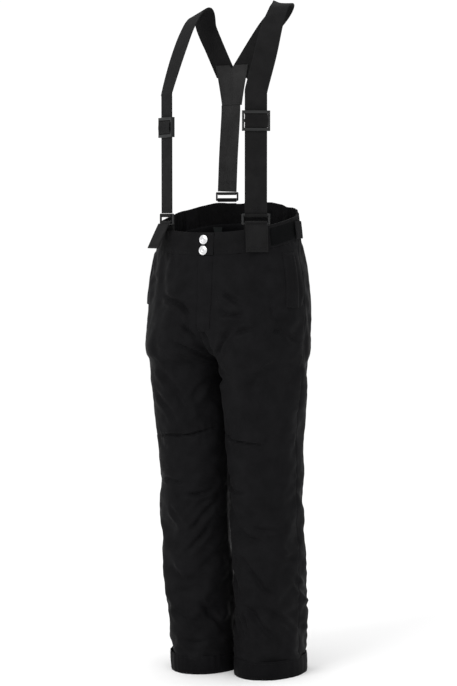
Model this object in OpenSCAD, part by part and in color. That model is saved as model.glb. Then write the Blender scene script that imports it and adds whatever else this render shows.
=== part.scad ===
// Insulated child's ski pants with clip-on braces, standing on their hems.
// Origin: centre of the bounding box, on the floor. +Z up, -Y is the front,
// +X is the wearer's left. Millimetres.

/* [Layers] */
// Thickness of the outer fabric
shell_thick = 0.9; // [0.8:0.1:1.2]
// Thickness of the insulating wadding
wadding_thick = 3.2; // [2.6:0.1:3.6]
// Thickness of the lining fabric
lining_thick = 0.8; // [0.6:0.1:1.0]
// Clear space between two layers
layer_gap = 0.25; // [0.2:0.01:0.3]

/* [Waist] */
// Height of the waist edge at the front
front_waist_z = 769; // [764:1:774]
// Height of the waist edge at the back
back_waist_z = 821; // [815:1:826]
// Height of the waistband
band_height = 38; // [36:1:40]
// Width of the lap that closes the waistband
lap_width = 26; // [25:1:28]
// Diameter of a snap's cap
snap_d = 16; // [14:0.5:17]
// Distance between the two snaps
snap_pitch = 18; // [18:0.5:20]

/* [Fly] */
// Height of the fly zip's bottom stop
fly_bottom_z = 612; // [606:1:620]
// Width of the fly window, which the placket covers
fly_width = 22; // [20:1:23]

/* [Legs] */
// Height of the hem band
hem_height = 33; // [30:1:36]
// Height at which the snow gaiter joins the lining
gaiter_z = 150; // [140:1:160]

/* [Braces] */
// Width of the brace webbing
webbing_w = 38; // [37:0.5:39]
// Thickness of the brace webbing
webbing_t = 1.6; // [1.4:0.1:1.8]
// Height of the top of the braces
brace_top_z = 1157; // [1150:1:1160]
// Height of the strap adjusters
adjuster_z = 951; // [945:1:965]

/* [Hidden] */
$fn = 48;
lap_gap = 0.4;
hem_off = 0.3;
hem_thick = 1.2;

// Half of the garment at a few heights. Each row: height, distance of the leg's
// centre from the middle, half width, depth to the front, depth to the back,
// position of the centre in Y, half of the walking stance, roundness (2 is an ellipse).
LEVELS = [
  [  0, 59.5,  57,  77,  77, 38, 8, 2],
  [ 33, 60.5,  57,  76,  76, 35, 8, 2],
  [110,   65,  58,  73,  73, 27, 8, 2],
  [270,   66,  61,  68,  68, 12, 6.5, 2],
  [400,   66,  64,  70,  70,  4, 5, 2],
  [480, 68.5,  68,  82,  82,  1, 2.5, 2],
  [545,   71,  71,  97,  97,  0, 0, 2],
  [575,   58,  87, 107, 106,  0, 0, 2],
  [610,   34, 113, 109, 110, 0.5, 0, 2],
  [660,   13, 134, 105, 108,  2, 0, 2],
  [700,    3, 139, 106,  98,  5, 0, 2.05],
  [735,    0, 134, 106,  86,  8, 0, 2.15],
  [770,    0, 126, 105,  67, 10, 0, 2.25],
  [830,    0, 124, 103,  46, 11, 0, 2.4]];
// How far the middle of the box lies behind the middle of the waist's rows
MIDDLE_Y = 6.8;
WAIST_Z = (front_waist_z + back_waist_z) / 2;
WAIST_RISE = (back_waist_z - front_waist_z) / 2;
CROTCH_Z = 545;
STRAIGHT_Z = 600;

// Offsets of each layer's outer and inner face from the outer surface
WADDING_OUT = -shell_thick - layer_gap;
WADDING_IN = WADDING_OUT - wadding_thick;
LINING_OUT = WADDING_IN - layer_gap;
LINING_IN = LINING_OUT - lining_thick;
BAND_OUT = 1.0;
BAND_IN = -2.2;

// Smooth curve through the rows of a table, by its first column
function last(t) = len(t) - 1;
function row_at(t, z, i=0) = i >= last(t) - 1 || z < t[i + 1][0] ? i : row_at(t, z, i + 1);
function slope(t, i) = let (a = max(i - 1, 0), b = min(i + 1, last(t)))
  (t[b] - t[a]) / (t[b][0] - t[a][0]);
function smooth_row(t, z) = let (i = row_at(t, z), h = t[i + 1][0] - t[i][0], u = (z - t[i][0]) / h)
  (2*u*u*u - 3*u*u + 1) * t[i] + (u*u*u - 2*u*u + u) * h * slope(t, i)
  + (3*u*u - 2*u*u*u) * t[i + 1] + (u*u*u - u*u) * h * slope(t, i + 1);
function mix(a, b, t) = a + (b - a) * t;
function signed_pow(v, e) = sign(v) * pow(abs(v), e);
function unit(v) = v / norm(v);
function steps(a, b, n) = [for (i = [0:n]) mix(a, b, i / n)];

// A point of the garment's surface. side: 1 wearer's left, -1 right. turn runs from
// -1 at the front middle (or inseam), through 0 at the side seam, to 1 at the back middle.
function skin(side, turn, z, off=0) = let (s = smooth_row(LEVELS, z), w = s[2] + off,
    d = (turn < 0 ? s[3] : s[4]) + off, e = 2 / s[7],
    reach = 90 + asin(pow(max(0, min(1, s[1] / s[2])), s[7] / 2)), a = turn * reach)
  [side * (s[1] + w * signed_pow(cos(a), e)), s[5] - MIDDLE_Y + side * s[6] + d * signed_pow(sin(a), e), z];
function waist_top(turn) = WAIST_Z + WAIST_RISE * sin(90 * turn);
function seam_z(turn) = waist_top(turn) - band_height;
// Height on a panel: level equals the height up to STRAIGHT_Z, and 740 is the waist seam
function panel_z(level, turn) = level <= STRAIGHT_Z ? level
  : mix(STRAIGHT_Z, seam_z(turn) - 0.2, (level - STRAIGHT_Z) / (740 - STRAIGHT_Z));
// Direction that the surface faces, as an angle from +X
function facing(side, turn, z) = let (a = skin(side, turn - 0.01, z), b = skin(side, turn + 0.01, z))
  atan2(b[1] - a[1], b[0] - a[0]) - side * 90;
// The turn at which the front surface has a given distance from the middle
function turn_at(x, z, lo=-1, hi=0, n=18) = n == 0 ? (lo + hi) / 2 : let (m = (lo + hi) / 2)
  skin(1, m, z)[0] < x ? turn_at(x, z, m, hi, n - 1) : turn_at(x, z, lo, m, n - 1);
function back_turn_at(x, z, lo=0, hi=1, n=18) = n == 0 ? (lo + hi) / 2 : let (m = (lo + hi) / 2)
  skin(1, m, z)[0] > x ? back_turn_at(x, z, m, hi, n - 1) : back_turn_at(x, z, lo, m, n - 1);

// A sheet: two grids of points, outer and inner, joined along their edges.
// With loop, the columns close into a tube.
module sheet(outer, inner, flip=false, loop=false) {
  r = len(outer);
  c = len(outer[0]);
  wide = loop ? c : c - 1;
  function id(k, i, j) = k * r * c + i * c + j % c;
  function quad(a, b, p, q) = flip ? [[a, b, p], [a, p, q]] : [[a, p, b], [a, q, p]];
  skin_faces = [for (i = [0:r - 2]) for (j = [0:wide - 1])
    each concat(quad(id(0, i, j), id(0, i, j + 1), id(0, i + 1, j + 1), id(0, i + 1, j)),
                quad(id(1, i, j), id(1, i + 1, j), id(1, i + 1, j + 1), id(1, i, j + 1)))];
  rims = [for (j = [0:wide - 1])
    each concat(quad(id(1, 0, j), id(1, 0, j + 1), id(0, 0, j + 1), id(0, 0, j)),
                quad(id(0, r - 1, j), id(0, r - 1, j + 1), id(1, r - 1, j + 1), id(1, r - 1, j)))];
  sides = loop ? [] : [for (i = [0:r - 2])
    each concat(quad(id(1, i, 0), id(0, i, 0), id(0, i + 1, 0), id(1, i + 1, 0)),
                quad(id(0, i, c - 1), id(1, i, c - 1), id(1, i + 1, c - 1), id(0, i + 1, c - 1)))];
  polyhedron([for (row = outer) each row, for (row = inner) each row],
    concat(skin_faces, rims, sides), convexity=8);
}

PANEL_LEVELS = [0, 33, 80, 135, 195, 260, 325, 390, 440, 485, 520, CROTCH_Z, 552, 562, 576,
  594, 615, 640, 668, 695, 718, 740];
function panel_grid(side, turns, levels, off) =
  [for (v = levels) [for (u = turns) skin(side, u, panel_z(v, u), off)]];
function trimmed(turns, by) = [for (i = [0:last(turns)])
  i == 0 ? turns[i] + by : i == last(turns) ? turns[i] - by : turns[i]];
function raised(levels, low) = [for (v = levels) if (v == 0) low else v];

// One layer of one panel between two turns
module panel_layer(side, from, to, out, in, low=0, seam=0) {
  turns = trimmed(steps(from, to, 8), seam);
  levels = raised(PANEL_LEVELS, low);
  sheet(panel_grid(side, turns, levels, out), panel_grid(side, turns, levels, in), side < 0);
}

// A strip of the surface between two turns, with its heights given for each turn
module strip(side, turns, low, high, out, in, rows=2) {
  function grid(off) = [for (k = [0:rows]) [for (i = [0:len(turns) - 1])
    skin(side, turns[i], mix(low[i], high[i], k / rows), off)]];
  sheet(grid(out), grid(in), side < 0);
}
module patch(side, from, to, low, high, out, in, n=5, rows=2) {
  turns = steps(from, to, n);
  strip(side, turns, [for (t = turns) low], [for (t = turns) high], out, in, rows);
}

// ---- fly ----
FLY_X = 10;
FLY_TOP_Z = front_waist_z - band_height - 1;
FLY_WINDOW = [-1, FLY_X + fly_width / 2];
module fly_window() {
  translate([FLY_WINDOW[0], -125, fly_bottom_z - 6])
    cube([FLY_WINDOW[1] - FLY_WINDOW[0], 50, front_waist_z - fly_bottom_z]);
}
FLY_IN = -4.2;
ZIP_SIDE_GAP = 0.8;
TAPE_W = 6;
TAPE_T = 0.5;
COIL_R = 0.8;
COIL_Y = 1.35;
COIL_X = TAPE_T + COIL_R;
SLIDER_L = 9;
SLIDER_TOP = COIL_X + COIL_R + 0.25;
SLIDER_T = 0.8;
SLIDER_W = 7.6;
PIN_R = 0.6;

// A zip lies along +Z with its face to +X
module zip_tapes(long) {
  for (s = [-1, 1]) translate([0, s * (ZIP_SIDE_GAP + TAPE_W / 2), long / 2])
    cube([TAPE_T, TAPE_W, long], center=true);
}
module zip_coils(long) {
  for (s = [-1, 1]) translate([COIL_X - TAPE_T / 2, s * COIL_Y, 1])
    cylinder(r=COIL_R, h=long - 2);
}
module zip_slider() {
  top = SLIDER_TOP - TAPE_T / 2;
  difference() {
    translate([top, -SLIDER_W / 2, 0]) cube([SLIDER_T, SLIDER_W, SLIDER_L]);
    for (s = [-1, 1]) translate([top - 1, s * SLIDER_W / 2, 0]) rotate([0, 0, 45])
      cube([1.6, 1.6, 8], center=true);
  }
  for (s = [-1, 1]) translate([TAPE_T / 2 + 0.3, s * 2.9 - 0.4, 0.5])
    cube([top - TAPE_T / 2 - 0.3, 0.8, SLIDER_L - 1]);
  translate([-TAPE_T / 2 - 0.95, -0.35, SLIDER_L - 2]) cube([top + TAPE_T / 2 + 0.95, 0.7, 2]);
  translate([-TAPE_T / 2 - 0.95, -3, 0]) cube([0.65, 6, SLIDER_L]);
  for (s = [-1, 1]) translate([top + SLIDER_T, s * 1.6 - 0.5, 3])
    difference() {
      cube([1.9, 1.0, 4]);
      translate([0.95, -1, 2]) rotate([-90, 0, 0]) cylinder(r=PIN_R, h=3);
    }
}
PULL_X = SLIDER_TOP - TAPE_T / 2 + SLIDER_T + 0.95;
PULL_Z = 5;
module zip_pull(long) {
  translate([PULL_X, -2.1, PULL_Z]) rotate([-90, 0, 0]) cylinder(r=PIN_R - 0.05, h=4.2);
  difference() {
    translate([PULL_X - 0.4, -2, PULL_Z - long]) cube([0.8, 4, long - 0.2]);
    translate([PULL_X - 1, 0, PULL_Z - long + 3]) rotate([0, 90, 0]) cylinder(r=1.1, h=2);
    for (s = [-1, 1]) translate([PULL_X - 1, s * 1.6 - 0.7, PULL_Z - 3.2]) cube([2, 1.4, 6]);
  }
}

function fly_point(z) = skin(1, turn_at(FLY_X, z), z, FLY_IN);
FLY_A = fly_point(fly_bottom_z);
FLY_B = fly_point(FLY_TOP_Z - 2);
FLY_LONG = norm(FLY_B - FLY_A);
module on_line(a, b, face) {
  d = unit(b - a);
  flat = rotate_to_flat(d, face);
  multmatrix([[flat[0][0], flat[1][0], d[0], a[0]], [flat[0][1], flat[1][1], d[1], a[1]],
    [flat[0][2], flat[1][2], d[2], a[2]], [0, 0, 0, 1]]) children();
}
// The face direction made square to d, and the direction across it
function rotate_to_flat(d, face) = let (f = [cos(face), sin(face), 0], n = unit(f - d * (f * d)))
  [n, cross(d, n)];
module at_fly() {
  on_line([FLY_X, FLY_A[1], FLY_A[2]], [FLY_X, FLY_B[1], FLY_B[2]], -90) children();
}
module fly_zip_tapes() color("#1b1b1d") at_fly() zip_tapes(FLY_LONG);
module fly_zip_coils() color("#111112") at_fly() zip_coils(FLY_LONG);
module fly_zip_stops() color("#8a8c90") at_fly() {
  for (s = [-1, 1]) translate([TAPE_T / 2, s * COIL_Y - 0.8, FLY_LONG - 0.8]) cube([2, 1.6, 0.8]);
  translate([TAPE_T / 2, -2.4, -1]) cube([2, 4.8, 1.8]);
}
FLY_SLIDER_AT = FLY_LONG - SLIDER_L - 2;
module fly_slider() color("#2a2a2c") at_fly() translate([0, 0, FLY_SLIDER_AT]) zip_slider();
module fly_pull() color("#2a2a2c") at_fly() translate([0, 0, FLY_SLIDER_AT]) zip_pull(15);

function x_turns(x0, x1, z, n) = [for (x = steps(x0, x1, n)) turn_at(max(x, 0.01), z)];
// A front piece between two distances from the middle, the same at every height
module front_piece(x0, x1, low, high, out, in, n=5, rows=6) {
  xs = steps(x0, x1, n);
  function point(x, z, off) = let (p = skin(1, turn_at(max(abs(x), 0.01), z), z, off))
    [x, p[1], z];
  function grid(off) = [for (z = steps(low, high, rows)) [for (x = xs) point(x, z, off)]];
  sheet(grid(out), grid(in));
}
// The placket covers the zip outside, and the underlap keeps it off the wearer
PLACKET_X = [0.5, FLY_WINDOW[1] + 5];
PLACKET_IN = 2.1;
PLACKET_OUT = PLACKET_IN + 1.2;
UNDERLAP_OUT = LINING_IN - 1.4;
UNDERLAP_IN = UNDERLAP_OUT - 1;
EDGE_GAP = 0.4;
module fly_placket() color("#1f1f21")
  front_piece(PLACKET_X[0], PLACKET_X[1], fly_bottom_z - 10, FLY_TOP_Z - 0.5, PLACKET_OUT, PLACKET_IN);
module fly_underlap() color("#1a1a1c")
  front_piece(FLY_WINDOW[0] + EDGE_GAP, FLY_WINDOW[1] - EDGE_GAP, fly_bottom_z - 5, FLY_TOP_Z,
    UNDERLAP_OUT, UNDERLAP_IN);

// ---- panels, wadding, lining ----
module front_panel(side) difference() {
  panel_layer(side, -1, 0, 0, -shell_thick);
  fly_window();
  pocket_slot(side);
}
module back_panel(side) panel_layer(side, 0, 1, 0, -shell_thick);
SEAM_GAP = 0.004;
INNER_LOW_Z = 3;
// Wadding and lining are cut front and back, with a fine gap at the seams
module body_layer(side, out, in, low) difference() {
  union() {
    panel_layer(side, -1, 0, out, in, low, SEAM_GAP);
    panel_layer(side, 0, 1, out, in, low, SEAM_GAP);
  }
  fly_window();
  pocket_slot(side);
}
module front_panel_right() color("#1d1d1f") front_panel(-1);
module front_panel_left() color("#1d1d1f") front_panel(1);
module back_panel_right() color("#1d1d1f") back_panel(-1);
module back_panel_left() color("#1d1d1f") back_panel(1);
module wadding_right() color("#d8d8d4") body_layer(-1, WADDING_OUT, WADDING_IN, INNER_LOW_Z);
module wadding_left() color("#d8d8d4") body_layer(1, WADDING_OUT, WADDING_IN, INNER_LOW_Z);
module lining_right() color("#17171a") body_layer(-1, LINING_OUT, LINING_IN, INNER_LOW_Z);
module lining_left() color("#17171a") body_layer(1, LINING_OUT, LINING_IN, INNER_LOW_Z);

// ---- legs' ends ----
RING_TURNS = [for (i = [0:27]) -1 + 2 * i / 28];
module hem_band(side) {
  function grid(off) = [for (z = [0, hem_height / 2, hem_height]) [for (u = RING_TURNS)
    skin(side, u, z, off)]];
  sheet(grid(hem_off + hem_thick), grid(hem_off), side < 0, loop=true);
}
GAITER_LOW_Z = 10;
GAITER_IN = 7;
GAITER_GAP = 2.2;
GAITER_T = 0.6;
GAITER_BAND_Z = [GAITER_LOW_Z + 2, GAITER_LOW_Z + 22];
GAITER_BAND_T = 1.2;
function gaiter_off(z) = let (t = (gaiter_z - z) / (gaiter_z - GAITER_LOW_Z))
  LINING_IN - GAITER_GAP - GAITER_IN * t * t * (3 - 2 * t);
module snow_gaiter(side) {
  function grid(d) = [for (z = steps(GAITER_LOW_Z, gaiter_z, 6)) [for (u = RING_TURNS)
    skin(side, u, z, gaiter_off(z) + d)]];
  sheet(grid(0), grid(-GAITER_T), side < 0, loop=true);
}
module gaiter_elastic(side) {
  function grid(d) = [for (z = GAITER_BAND_Z) [for (u = RING_TURNS)
    skin(side, u, z, gaiter_off(GAITER_LOW_Z) + d)]];
  sheet(grid(-1), grid(-1 - GAITER_BAND_T), side < 0, loop=true);
}
module hem_band_right() color("#18181a") hem_band(-1);
module hem_band_left() color("#18181a") hem_band(1);
module snow_gaiter_right() color("#151518") snow_gaiter(-1);
module snow_gaiter_left() color("#151518") snow_gaiter(1);
module gaiter_elastic_right() color("#222226") gaiter_elastic(-1);
module gaiter_elastic_left() color("#222226") gaiter_elastic(1);

// ---- waistband ----
LAP_X = [1, 1 + lap_width];
BACK_BAND_FROM = 0.02;
function band_turns(side) = side > 0
  ? concat([turn_at(LAP_X[1] + lap_gap, front_waist_z)], steps(-0.75, 0, 8)) : steps(-1, 0, 10);
module waistband_front(side) {
  turns = band_turns(side);
  strip(side, turns, [for (t = turns) seam_z(t)], [for (t = turns) waist_top(t)], BAND_OUT, BAND_IN);
}
module waistband_front_right() color("#222224") waistband_front(-1);
module waistband_front_left() color("#222224") waistband_front(1);

function trimmed_start(turns, by) = [for (i = [0:last(turns)]) i == 0 ? turns[0] + by : turns[i]];
// Back band: from one side seam round the back to the other, with a casing for the elastic
function back_grid(off, low, high, shift) = let (us = trimmed_start(steps(BACK_BAND_FROM, 1, 10), shift),
    path = concat([for (u = us) [1, u]], [for (i = [len(us) - 2:-1:0]) [-1, us[i]]]))
  [for (k = [0:2]) [for (p = path)
    skin(p[0], p[1], mix(seam_z(p[1]) + low, waist_top(p[1]) - high, k / 2), off)]];
CASING_OUT = -0.4;
CASING_IN = -1.6;
module waistband_back() color("#222224") difference() {
  sheet(back_grid(BAND_OUT, 0, 0, 0), back_grid(BAND_IN - 0.4, 0, 0, 0));
  sheet(back_grid(CASING_OUT, 4, 4, -0.01), back_grid(CASING_IN, 4, 4, -0.01));
}
module waist_elastic() color("#cfcfca")
  sheet(back_grid(CASING_OUT - 0.2, 5, 5, 0.01), back_grid(CASING_IN + 0.2, 5, 5, 0.01));
LABEL_X = [-66, -30];
LABEL_Z = [750, 764, 777];
// A back piece between two distances from the middle
module back_piece(x0, x1, heights, out, in) {
  function point(x, z, off) = let (p = skin(1, back_turn_at(max(abs(x), 0.01), z), z, off)) [x, p[1], z];
  function grid(off) = [for (z = heights) [for (x = steps(x1, x0, 6)) point(x, z, off)]];
  sheet(grid(out), grid(in));
}
LABEL_OUT = LINING_IN - 2;
module size_label() color("#55555a")
  back_piece(LABEL_X[0], LABEL_X[1], LABEL_Z, LABEL_OUT, LABEL_OUT - 0.4);

// ---- lap and snaps ----
LAP_OUT = BAND_OUT + 0.4 + 1.8;
LAP_IN = BAND_OUT + 0.4;
SNAP_X = 9;
SNAP_Z = [front_waist_z - 12, front_waist_z - 12 - snap_pitch];
LAP_LOW_Z = front_waist_z - band_height;
SNAP_HOLE_R = 2.6;
function front_y(z, off) = skin(1, turn_at(SNAP_X, z), z, off)[1];
SNAP_TILT = atan((front_y(SNAP_Z[0], 0) - front_y(SNAP_Z[1], 0)) / snap_pitch);
// Each snap's own frame has +Z square to the cloth
module at_snaps(off) for (z = SNAP_Z) translate([SNAP_X, front_y(z, off), z])
  rotate([90 - SNAP_TILT, 0, 0]) children();
module waist_lap() color("#222224") difference() {
  front_piece(LAP_X[0], LAP_X[1], LAP_LOW_Z, front_waist_z, LAP_OUT, LAP_IN, 5, 2);
  at_snaps(0) translate([0, 0, -10]) cylinder(r=SNAP_HOLE_R, h=20);
  at_snaps(LAP_IN - 2) cylinder(r=SOCKET_R + 0.4, h=3.1);
}
// Under the lap the right band runs on as a tongue that holds the studs
module waist_tongue() color("#1e1e20") difference() {
  front_piece(0.4, LAP_X[1] - 0.6, LAP_LOW_Z, front_waist_z - 1, BAND_OUT, BAND_IN + 0.6, 5, 2);
  at_snaps(0) translate([0, 0, -10]) cylinder(r=STUD_R + 0.5, h=20);
}
CAP_AT = LAP_OUT + 0.45;
module snap_caps() color("#c9ccd1") at_snaps(CAP_AT) {
  rotate_extrude() difference() {
    polygon([[0, 0], [snap_d / 2 - 0.6, 0], [snap_d / 2, 0.5], [snap_d / 2 - 0.4, 1.1],
      [snap_d / 2 - 1.4, 1.5], [snap_d / 2 - 2.2, 1.1], [0, 1.1]]);
    translate([0, 1]) square([2.2, 1]);
  }
  translate([0, 0, -1.2]) cylinder(r=2.3, h=1.3);
}
SOCKET_T = 0.7;
SOCKET_R = 5.6;
module snap_sockets() color("#9a9da3") at_snaps(LAP_IN + 0.3) rotate_extrude()
  translate([SNAP_HOLE_R, 0]) square([SOCKET_R - SNAP_HOLE_R, SOCKET_T]);
STUD_R = 1.5;
module snap_studs() color("#9a9da3") at_snaps(BAND_IN - 0.3) {
  cylinder(r=STUD_R, h=4.2);
  translate([0, 0, -0.8]) cylinder(r=4.5, h=0.8);
}

// ---- side pockets ----
POCKET_TURN = -0.17;
POCKET_LOW_Z = 650;
POCKET_TOP_Z = 728;
POCKET_IN = -2.4;
function pocket_end(side, z) = skin(side, POCKET_TURN, z, POCKET_IN);
function pocket_facing(side) = facing(side, POCKET_TURN, 690);
module at_pocket(side) {
  a = pocket_end(side, POCKET_LOW_Z);
  b = pocket_end(side, POCKET_TOP_Z);
  on_line(a, b, pocket_facing(side)) children();
}
POCKET_LONG = norm(pocket_end(1, POCKET_TOP_Z) - pocket_end(1, POCKET_LOW_Z));
module pocket_slot(side) at_pocket(side) translate([-3.6, -7.6, -4]) cube([15, 15.2, POCKET_LONG + 8]);
module pocket_zip(side) at_pocket(side) {
  zip_tapes(POCKET_LONG);
  zip_coils(POCKET_LONG);
}
POCKET_SLIDER_AT = POCKET_LONG - SLIDER_L - 2;
module pocket_slider(side) at_pocket(side) translate([0, 0, POCKET_SLIDER_AT]) zip_slider();
module pocket_pull(side) at_pocket(side) translate([0, 0, POCKET_SLIDER_AT]) zip_pull(14);
WELT_IN = 3.2;
WELT_OUT = WELT_IN + 1;
WELT_TURNS = [POCKET_TURN - 0.085, POCKET_TURN + 0.075];
BAG_OUT = LINING_IN - 2;
BAG_IN = BAG_OUT - 1.2;
BAG_TURNS = [-0.5, POCKET_TURN + 0.06];
BAG_Z = [POCKET_LOW_Z - 50, POCKET_TOP_Z - 6];
module pocket_welt(side)
  patch(side, WELT_TURNS[0], WELT_TURNS[1], POCKET_LOW_Z - 8, POCKET_TOP_Z + 8, WELT_OUT, WELT_IN, 5, 6);
module pocket_bag(side)
  patch(side, BAG_TURNS[0], BAG_TURNS[1], BAG_Z[0], BAG_Z[1], BAG_OUT, BAG_IN, 6, 5);
module pocket_welt_right() color("#1b1b1d") pocket_welt(-1);
module pocket_welt_left() color("#1b1b1d") pocket_welt(1);
module pocket_bag_right() color("#151517") pocket_bag(-1);
module pocket_bag_left() color("#151517") pocket_bag(1);
module pocket_zip_right() color("#131315") pocket_zip(-1);
module pocket_zip_left() color("#131315") pocket_zip(1);
module pocket_slider_right() color("#2a2a2c") pocket_slider(-1);
module pocket_slider_left() color("#2a2a2c") pocket_slider(1);
module pocket_pull_right() color("#2a2a2c") pocket_pull(-1);
module pocket_pull_left() color("#2a2a2c") pocket_pull(1);

// ---- waist adjusters: a loop patch on the band and a hook tab pressed on it ----
PATCH_TURNS = [-0.36, -0.005];
TAB_TURNS = [-0.05, 0.1];
function band_z(t, f) = mix(seam_z(t), waist_top(t), f);
module band_piece(side, turns, low, high, out, in, n=4) {
  ts = steps(turns[0], turns[1], n);
  strip(side, ts, [for (t = ts) band_z(t, low)], [for (t = ts) band_z(t, high)], out, in, 1);
}
module waist_patch(side) band_piece(side, PATCH_TURNS, 0.1, 0.86, BAND_OUT + 1.2, BAND_OUT + 0.2);
// The tab is flat, and swings on the line where it is sewn
TAB_Z = 773;
TAB_W = 30;
TAB_T = 1.6;
TAB_OFF = BAND_OUT + 1.8;
TAB_LIFT = 1.8;
function tab_end(side, k) = skin(side, TAB_TURNS[1], TAB_Z + k * TAB_W / 2, TAB_OFF);
function tab_face(side) = facing(side, (TAB_TURNS[0] + TAB_TURNS[1]) / 2, TAB_Z);
TAB_L = norm(skin(1, TAB_TURNS[1], TAB_Z) - skin(1, TAB_TURNS[0], TAB_Z));
module waist_tab(side) on_line(tab_end(side, -1), tab_end(side, 1), tab_face(side))
  translate([TAB_LIFT, side > 0 ? -TAB_L : 0, 0]) cube([TAB_T, TAB_L, TAB_W]);
module waist_patch_right() color("#0f0f10") waist_patch(-1);
module waist_patch_left() color("#0f0f10") waist_patch(1);
module waist_tab_right() color("#202022") waist_tab(-1);
module waist_tab_left() color("#202022") waist_tab(1);

// ---- braces ----
// Each front anchor: place of the ring's middle, and the way it faces from straight ahead
RING_Z = 791;
function anchor_x(side) = side > 0 ? 92 : -78;
function anchor_turn(side) = turn_at(abs(anchor_x(side)), 775);
function anchor_face(side) = facing(side, anchor_turn(side), 775);
function anchor_point(side, off) = let (p = skin(side, anchor_turn(side), 775, off)) [p[0], p[1], 0];
RING_OFF = -1;
module at_anchor(side, z, off=RING_OFF) {
  p = anchor_point(side, off);
  translate([p[0], p[1], z]) rotate([0, 0, anchor_face(side)]) children();
}
RING_WIRE_R = 1.9;
RING_GAP_H = 11;
RING_GAP_W = webbing_w + 3;
// A rectangular ring of round wire, upright, facing +X, its lower bar at z = 0
module wire_ring(gap_w, gap_h, r) {
  half = gap_w / 2 + r;
  tall = gap_h + 2 * r;
  for (z = [0, tall]) translate([0, -half, z]) rotate([-90, 0, 0]) cylinder(r=r, h=2 * half);
  for (s = [-1, 1]) translate([0, s * half, 0]) {
    cylinder(r=r, h=tall);
    for (z = [0, tall]) translate([0, 0, z]) sphere(r=r);
  }
}
RING_LOW_Z = RING_Z - RING_GAP_H / 2 - RING_WIRE_R;
RING_HIGH_Z = RING_LOW_Z + RING_GAP_H + 2 * RING_WIRE_R;
module brace_ring(side) at_anchor(side, RING_LOW_Z) wire_ring(RING_GAP_W, RING_GAP_H, RING_WIRE_R);
module brace_ring_right() color("#3c3d40") brace_ring(-1);
module brace_ring_left() color("#3c3d40") brace_ring(1);

// A webbing loop round the ring's lower bar, sewn inside the band
LOOP_CLEAR = 1.5;
LOOP_IN_R = RING_WIRE_R + LOOP_CLEAR;
TAB_WEB_T = 1.2;
LOOP_LEAF_L = 34;
module tab_loop(side) at_anchor(side, RING_LOW_Z) {
  intersection() {
    rotate([90, 0, 0]) translate([0, 0, -webbing_w / 2]) difference() {
      cylinder(r=LOOP_IN_R + TAB_WEB_T, h=webbing_w);
      translate([0, 0, -1]) cylinder(r=LOOP_IN_R, h=webbing_w + 2);
    }
    translate([-10, -30, 0]) cube([20, 60, 20]);
  }
  translate([-LOOP_IN_R - TAB_WEB_T, -webbing_w / 2, -LOOP_LEAF_L])
    cube([TAB_WEB_T, webbing_w, LOOP_LEAF_L]);
}
module brace_tab_loop_right() color("#262628") tab_loop(-1);
module brace_tab_loop_left() color("#262628") tab_loop(1);
// The outer flap hangs from the loop and presses on the band
FLAP_L = 47;
FLAP_T = 1.8;
FLAP_HINGE_X = LOOP_IN_R + 1.8;
FLAP_TOP_Z = -0.4;
// The right flap hangs open, the left one is pressed on the band
FLAP_SHUT = 7;
function flap_open(side) = side > 0 ? FLAP_SHUT : 27;
module tab_flap(side) at_anchor(side, RING_LOW_Z)
  translate([FLAP_HINGE_X, 0, FLAP_TOP_Z]) rotate([0, -flap_open(side), 0])
    translate([0, -webbing_w / 2, -FLAP_L]) cube([FLAP_T, webbing_w, FLAP_L]);
module brace_tab_flap_right() color("#262628") tab_flap(-1);
module brace_tab_flap_left() color("#262628") tab_flap(1);

// Ribbon through a list of stations: [place, direction across it]
function lengths(path, i=0, sum=0) = i > last(path) ? [] : let (
    long = i == 0 ? 0 : sum + norm(path[i][0] - path[i - 1][0]))
  concat([long], lengths(path, i + 1, long));
function knots(path) = let (long = lengths(path))
  [for (i = [0:last(path)]) concat([long[i]], path[i][0], path[i][1])];
function ribbon_row(rows, at, w, lift) = let (s = smooth_row(rows, at),
    a = smooth_row(rows, max(at - 1, 0)), b = smooth_row(rows, min(at + 1, rows[last(rows)][0])),
    p = [s[1], s[2], s[3]], d = unit([b[1] - a[1], b[2] - a[2], b[3] - a[3]]),
    c0 = [s[4], s[5], s[6]], c = unit(c0 - d * (c0 * d)), m = cross(c, d))
  [p - c * w / 2 + m * lift, p + c * w / 2 + m * lift];
function ribbon_rows(path, n, w, lift) = let (rows = knots(path), long = rows[last(rows)][0])
  [for (k = [0:n]) ribbon_row(rows, long * k / n, w, lift)];
module ribbon(path, n, w=webbing_w, t=webbing_t) {
  sheet(ribbon_rows(path, n, w, t / 2), ribbon_rows(path, n, w, -t / 2));
}
YOKE_X = -29;
YOKE_Y = 62 - MIDDLE_Y;
YOKE_TOP_Z = 1060;
YOKE_LOW_Z = 990;
YOKE_TOP_W = 66;
YOKE_LOW_W = 40;
YOKE_T = 3.6;
// Up to here the strap is straight, so that its adjuster can slide
STRAIGHT_TOP_Z = 998;
function across(side) = let (f = anchor_face(side) + 90) [cos(f), sin(f), 0];
function front_at(side, z, off=0) = let (p = anchor_point(side, RING_OFF), f = anchor_face(side))
  [p[0] + off * cos(f), p[1] + off * sin(f), z];
STRAP_LOW_Z = RING_HIGH_Z + RING_WIRE_R + 0.8;
// The arms are sewn on the yoke's back
function arm_end(side) = [YOKE_X + side * 15, YOKE_Y + (YOKE_T + webbing_t) / 2 + 0.8, YOKE_TOP_Z - 14];
function strap_start(side) = [
  [front_at(side, STRAP_LOW_Z), across(side)],
  [front_at(side, 900), across(side)],
  [front_at(side, STRAIGHT_TOP_Z), across(side)],
  [front_at(side, STRAIGHT_TOP_Z + 6), across(side)]];
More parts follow.
